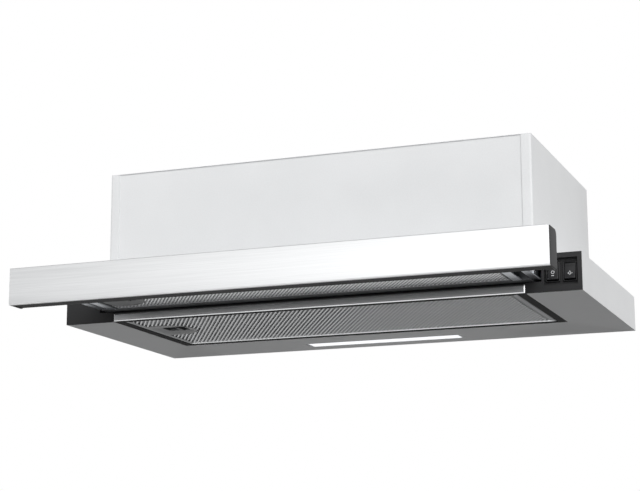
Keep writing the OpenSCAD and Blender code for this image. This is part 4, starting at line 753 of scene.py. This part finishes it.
# casing: a folded path round sides and back with flanges in front, carried up, a top sheet with its cut-outs,
# and a foot along each side
def makeCasing(values):
    low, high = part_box("casing_shell")
    t, reach, gap = values["sheet"], high.x - values["flange"], values["footGap"]

    def path(inset):
        x, y0, y1 = high.x - inset, low.y + inset, high.y - inset
        corners = [(-reach, y0), (-x, y0), (-x, y1), (x, y1), (x, y0), (reach, y0)]
        return foldedPath(corners, values["fold"] - inset)

    section = np.concatenate([path(0), path(t)[::-1]])
    skins = [loft([onPlane(section, "Z", z) for z in (low.z, high.z - t)])]
    ductLow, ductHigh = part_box("duct_collar")
    glandLow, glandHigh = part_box("cable_gland")
    ductMiddle = np.array([0, (ductLow.y + ductHigh.y) / 2])
    glandMiddle = np.array([(glandLow.x + glandHigh.x) / 2, (glandLow.y + glandHigh.y) / 2])
    holes = [ductMiddle + unitCircle(values["ductSides"]) * values["ductRadius"],
             glandMiddle + unitCircle(values["glandSides"]) * values["glandRadius"]]
    outline = roundedRectangle((0, (low.y + high.y) / 2), (high.x, (high.y - low.y) / 2), values["fold"])
    skins.append(cutSheet(outline, holes, high.z - t, high.z))
    for sign in (-1, 1):
        middle = (sign * (high.x - values["foot"] / 2), (low.y + values["footFront"] + high.y) / 2)
        half = (values["foot"] / 2 - gap, (high.y - low.y - values["footFront"]) / 2 - gap)
        skins.append(slab(middle, half, values["footCorner"], "Z", low.z, low.z + t, values["footEdge"]))
    meshPiece("casing_folded", skins, "powderCoatedSteel", "hood", ["casing_shell"])


makeCasing(casing)
print("casing made")

view = {"azimuth": 20.954, "elevation": -12.053, "roll": -0.157, "distance": 1.980554, "right": -0.024814,
        "up": 0.028922, "target": (0.0, -0.045, 0.0196), "lens": 97.119, "sensor": 36, "clip": (0.05, 60)}


# back along the viewing direction from the target, then a little sideways and up, rolled about its axis
def placeCamera(v):
    a, e, roll = (math.radians(v[key]) for key in ("azimuth", "elevation", "roll"))
    back = Vector((math.sin(a) * math.cos(e), -math.cos(a) * math.cos(e), math.sin(e)))
    right = (-back).cross(Vector((0, 0, 1))).normalized()
    up = right.cross(-back)
    turnedRight = right * math.cos(roll) + up * math.sin(roll)
    turnedUp = up * math.cos(roll) - right * math.sin(roll)
    place = Vector(v["target"]) + back * v["distance"] + turnedRight * v["right"] + turnedUp * v["up"]
    camera = bpy.data.cameras.new("photo_camera")
    camera.lens = v["lens"]
    camera.sensor_width = v["sensor"]
    camera.clip_start, camera.clip_end = v["clip"]
    holder = bpy.data.objects.new("photo_camera", camera)
    bpy.context.scene.collection.objects.link(holder)
    turn = Matrix((turnedRight, turnedUp, back)).transposed()
    holder.matrix_world = Matrix.Translation(place) @ turn.to_4x4()
    bpy.context.scene.camera = holder


placeCamera(view)

# levels of radiance, and the parts of the sky as smooth steps over an axis of the direction, from 0 to 1
studio = {"below": 0.115, "lowCard": 1.4, "rearCard": 0.88, "rearSides": (0.85, 0.75), "front": 0.72,
          "bandSides": (0.7, 2.1), "top": 0.6, "bandFade": (-0.52, -0.26), "rearFade": (-0.6, -0.2),
          "toFront": (0.3, -0.5), "roof": (0.4, 0.8), "horizon": (-0.35, -0.05),
          "band": (("Z", -0.05, 0.08), ("Z", 0.5, 0.34)),
          "lowFront": (("Z", -0.84, -0.76), ("Z", -0.46, -0.56), ("Y", -0.38, -0.48)),
          "lowRear": (("Z", -0.56, -0.42), ("Z", -0.08, -0.2), ("Y", 0.3, 0.5), ("X", -0.72, -0.6),
                      ("X", 0.08, -0.08)),
          "keyPower": 1.75, "keyDirection": (-0.5, 0.62, -0.6), "keyAngle": 50}


# radiance by direction: dim below with a white card low in front and one low behind, a band in front that grows
# from left to right, a rear that fades from left to right and a softer top, each mixed in by smooth steps
def lightStudio(v):
    world = bpy.data.worlds.new("studio")
    bpy.context.scene.world = world
    world.use_nodes = True
    tree = world.node_tree
    tree.nodes.clear()
    place = addNode(tree, "ShaderNodeTexCoord")
    split = addNode(tree, "ShaderNodeSeparateXYZ", links={"Vector": place.outputs["Generated"]})

    def step(axis, start, end, low=0.0, high=1.0):
        return addNode(tree, "ShaderNodeMapRange", {"From Min": start, "From Max": end, "To Min": low,
                                                    "To Max": high, "interpolation_type": "SMOOTHSTEP"},
                       {"Value": split.outputs[axis]}).outputs["Result"]

    def within(edges):
        share = step(*edges[0])
        for edge in edges[1:]:
            share = addNode(tree, "ShaderNodeMath", {"operation": "MULTIPLY"},
                            {0: share, 1: step(*edge)}).outputs["Value"]
        return share

    def mixed(share, first, second):
        settings, links = {"data_type": "FLOAT"}, {0: share}
        for slot, value in ((2, first), (3, second)):
            (settings if isinstance(value, float) else links)[slot] = value
        return addNode(tree, "ShaderNodeMix", settings, links).outputs[0]

    band = step("X", *v["bandFade"], *v["bandSides"])
    rear = step("X", *v["rearFade"], *v["rearSides"])
    level = mixed(step("Y", *v["toFront"]), rear, mixed(within(v["band"]), v["front"], band))
    roofed = mixed(step("Z", *v["roof"]), level, v["top"])
    lower = mixed(within(v["lowFront"]), v["below"], v["lowCard"])
    openSky = mixed(step("Z", *v["horizon"]), lower, roofed)
    radiance = mixed(within(v["lowRear"]), openSky, v["rearCard"])
    seen = addNode(tree, "ShaderNodeLightPath")
    strength = mixed(seen.outputs["Is Camera Ray"], radiance, 1.0)      # plain white behind the hood
    background = addNode(tree, "ShaderNodeBackground", {"Color": (1, 1, 1, 1)}, {"Strength": strength})
    addNode(tree, "ShaderNodeOutputWorld", links={"Surface": background.outputs["Background"]})
    key = bpy.data.lights.new("key", "SUN")
    key.energy = v["keyPower"]
    key.angle = math.radians(v["keyAngle"])
    holder = bpy.data.objects.new("key", key)
    holder.rotation_euler = Vector(v["keyDirection"]).to_track_quat("-Z", "Y").to_euler()
    bpy.context.scene.collection.objects.link(holder)


lightStudio(studio)
bpy.context.scene.view_settings.view_transform = "Standard"   # pure white behind, as in the photograph

ground = {"drop": 3.2, "half": 40, "finish": {"dark": "e6e6e6", "light": "ececec", "rough": (0.8, 0.9),
                                              "grainMm": (8, 8, 8), "bump": 0.02}}


# painted floor: a flat square far below the hood, too low for the photograph's view; it neither lights the
# hood nor shows in its metals
def paleFloor(values):
    corners = np.array([[-1, -1], [1, -1], [1, 1], [-1, 1]]) * values["half"]
    mesh = bpy.data.meshes.new("floor")
    mesh.from_pydata(np.column_stack([corners, np.full(4, -values["drop"])]).tolist(), [], [[0, 1, 2, 3]])
    floor = bpy.data.objects.new("floor", mesh)
    bpy.context.scene.collection.objects.link(floor)
    mesh.materials.append(makeFinish("paintedFloor", values["finish"]))
    floor.visible_diffuse = False
    floor.visible_glossy = False


paleFloor(ground)
print("camera, light and floor placed")
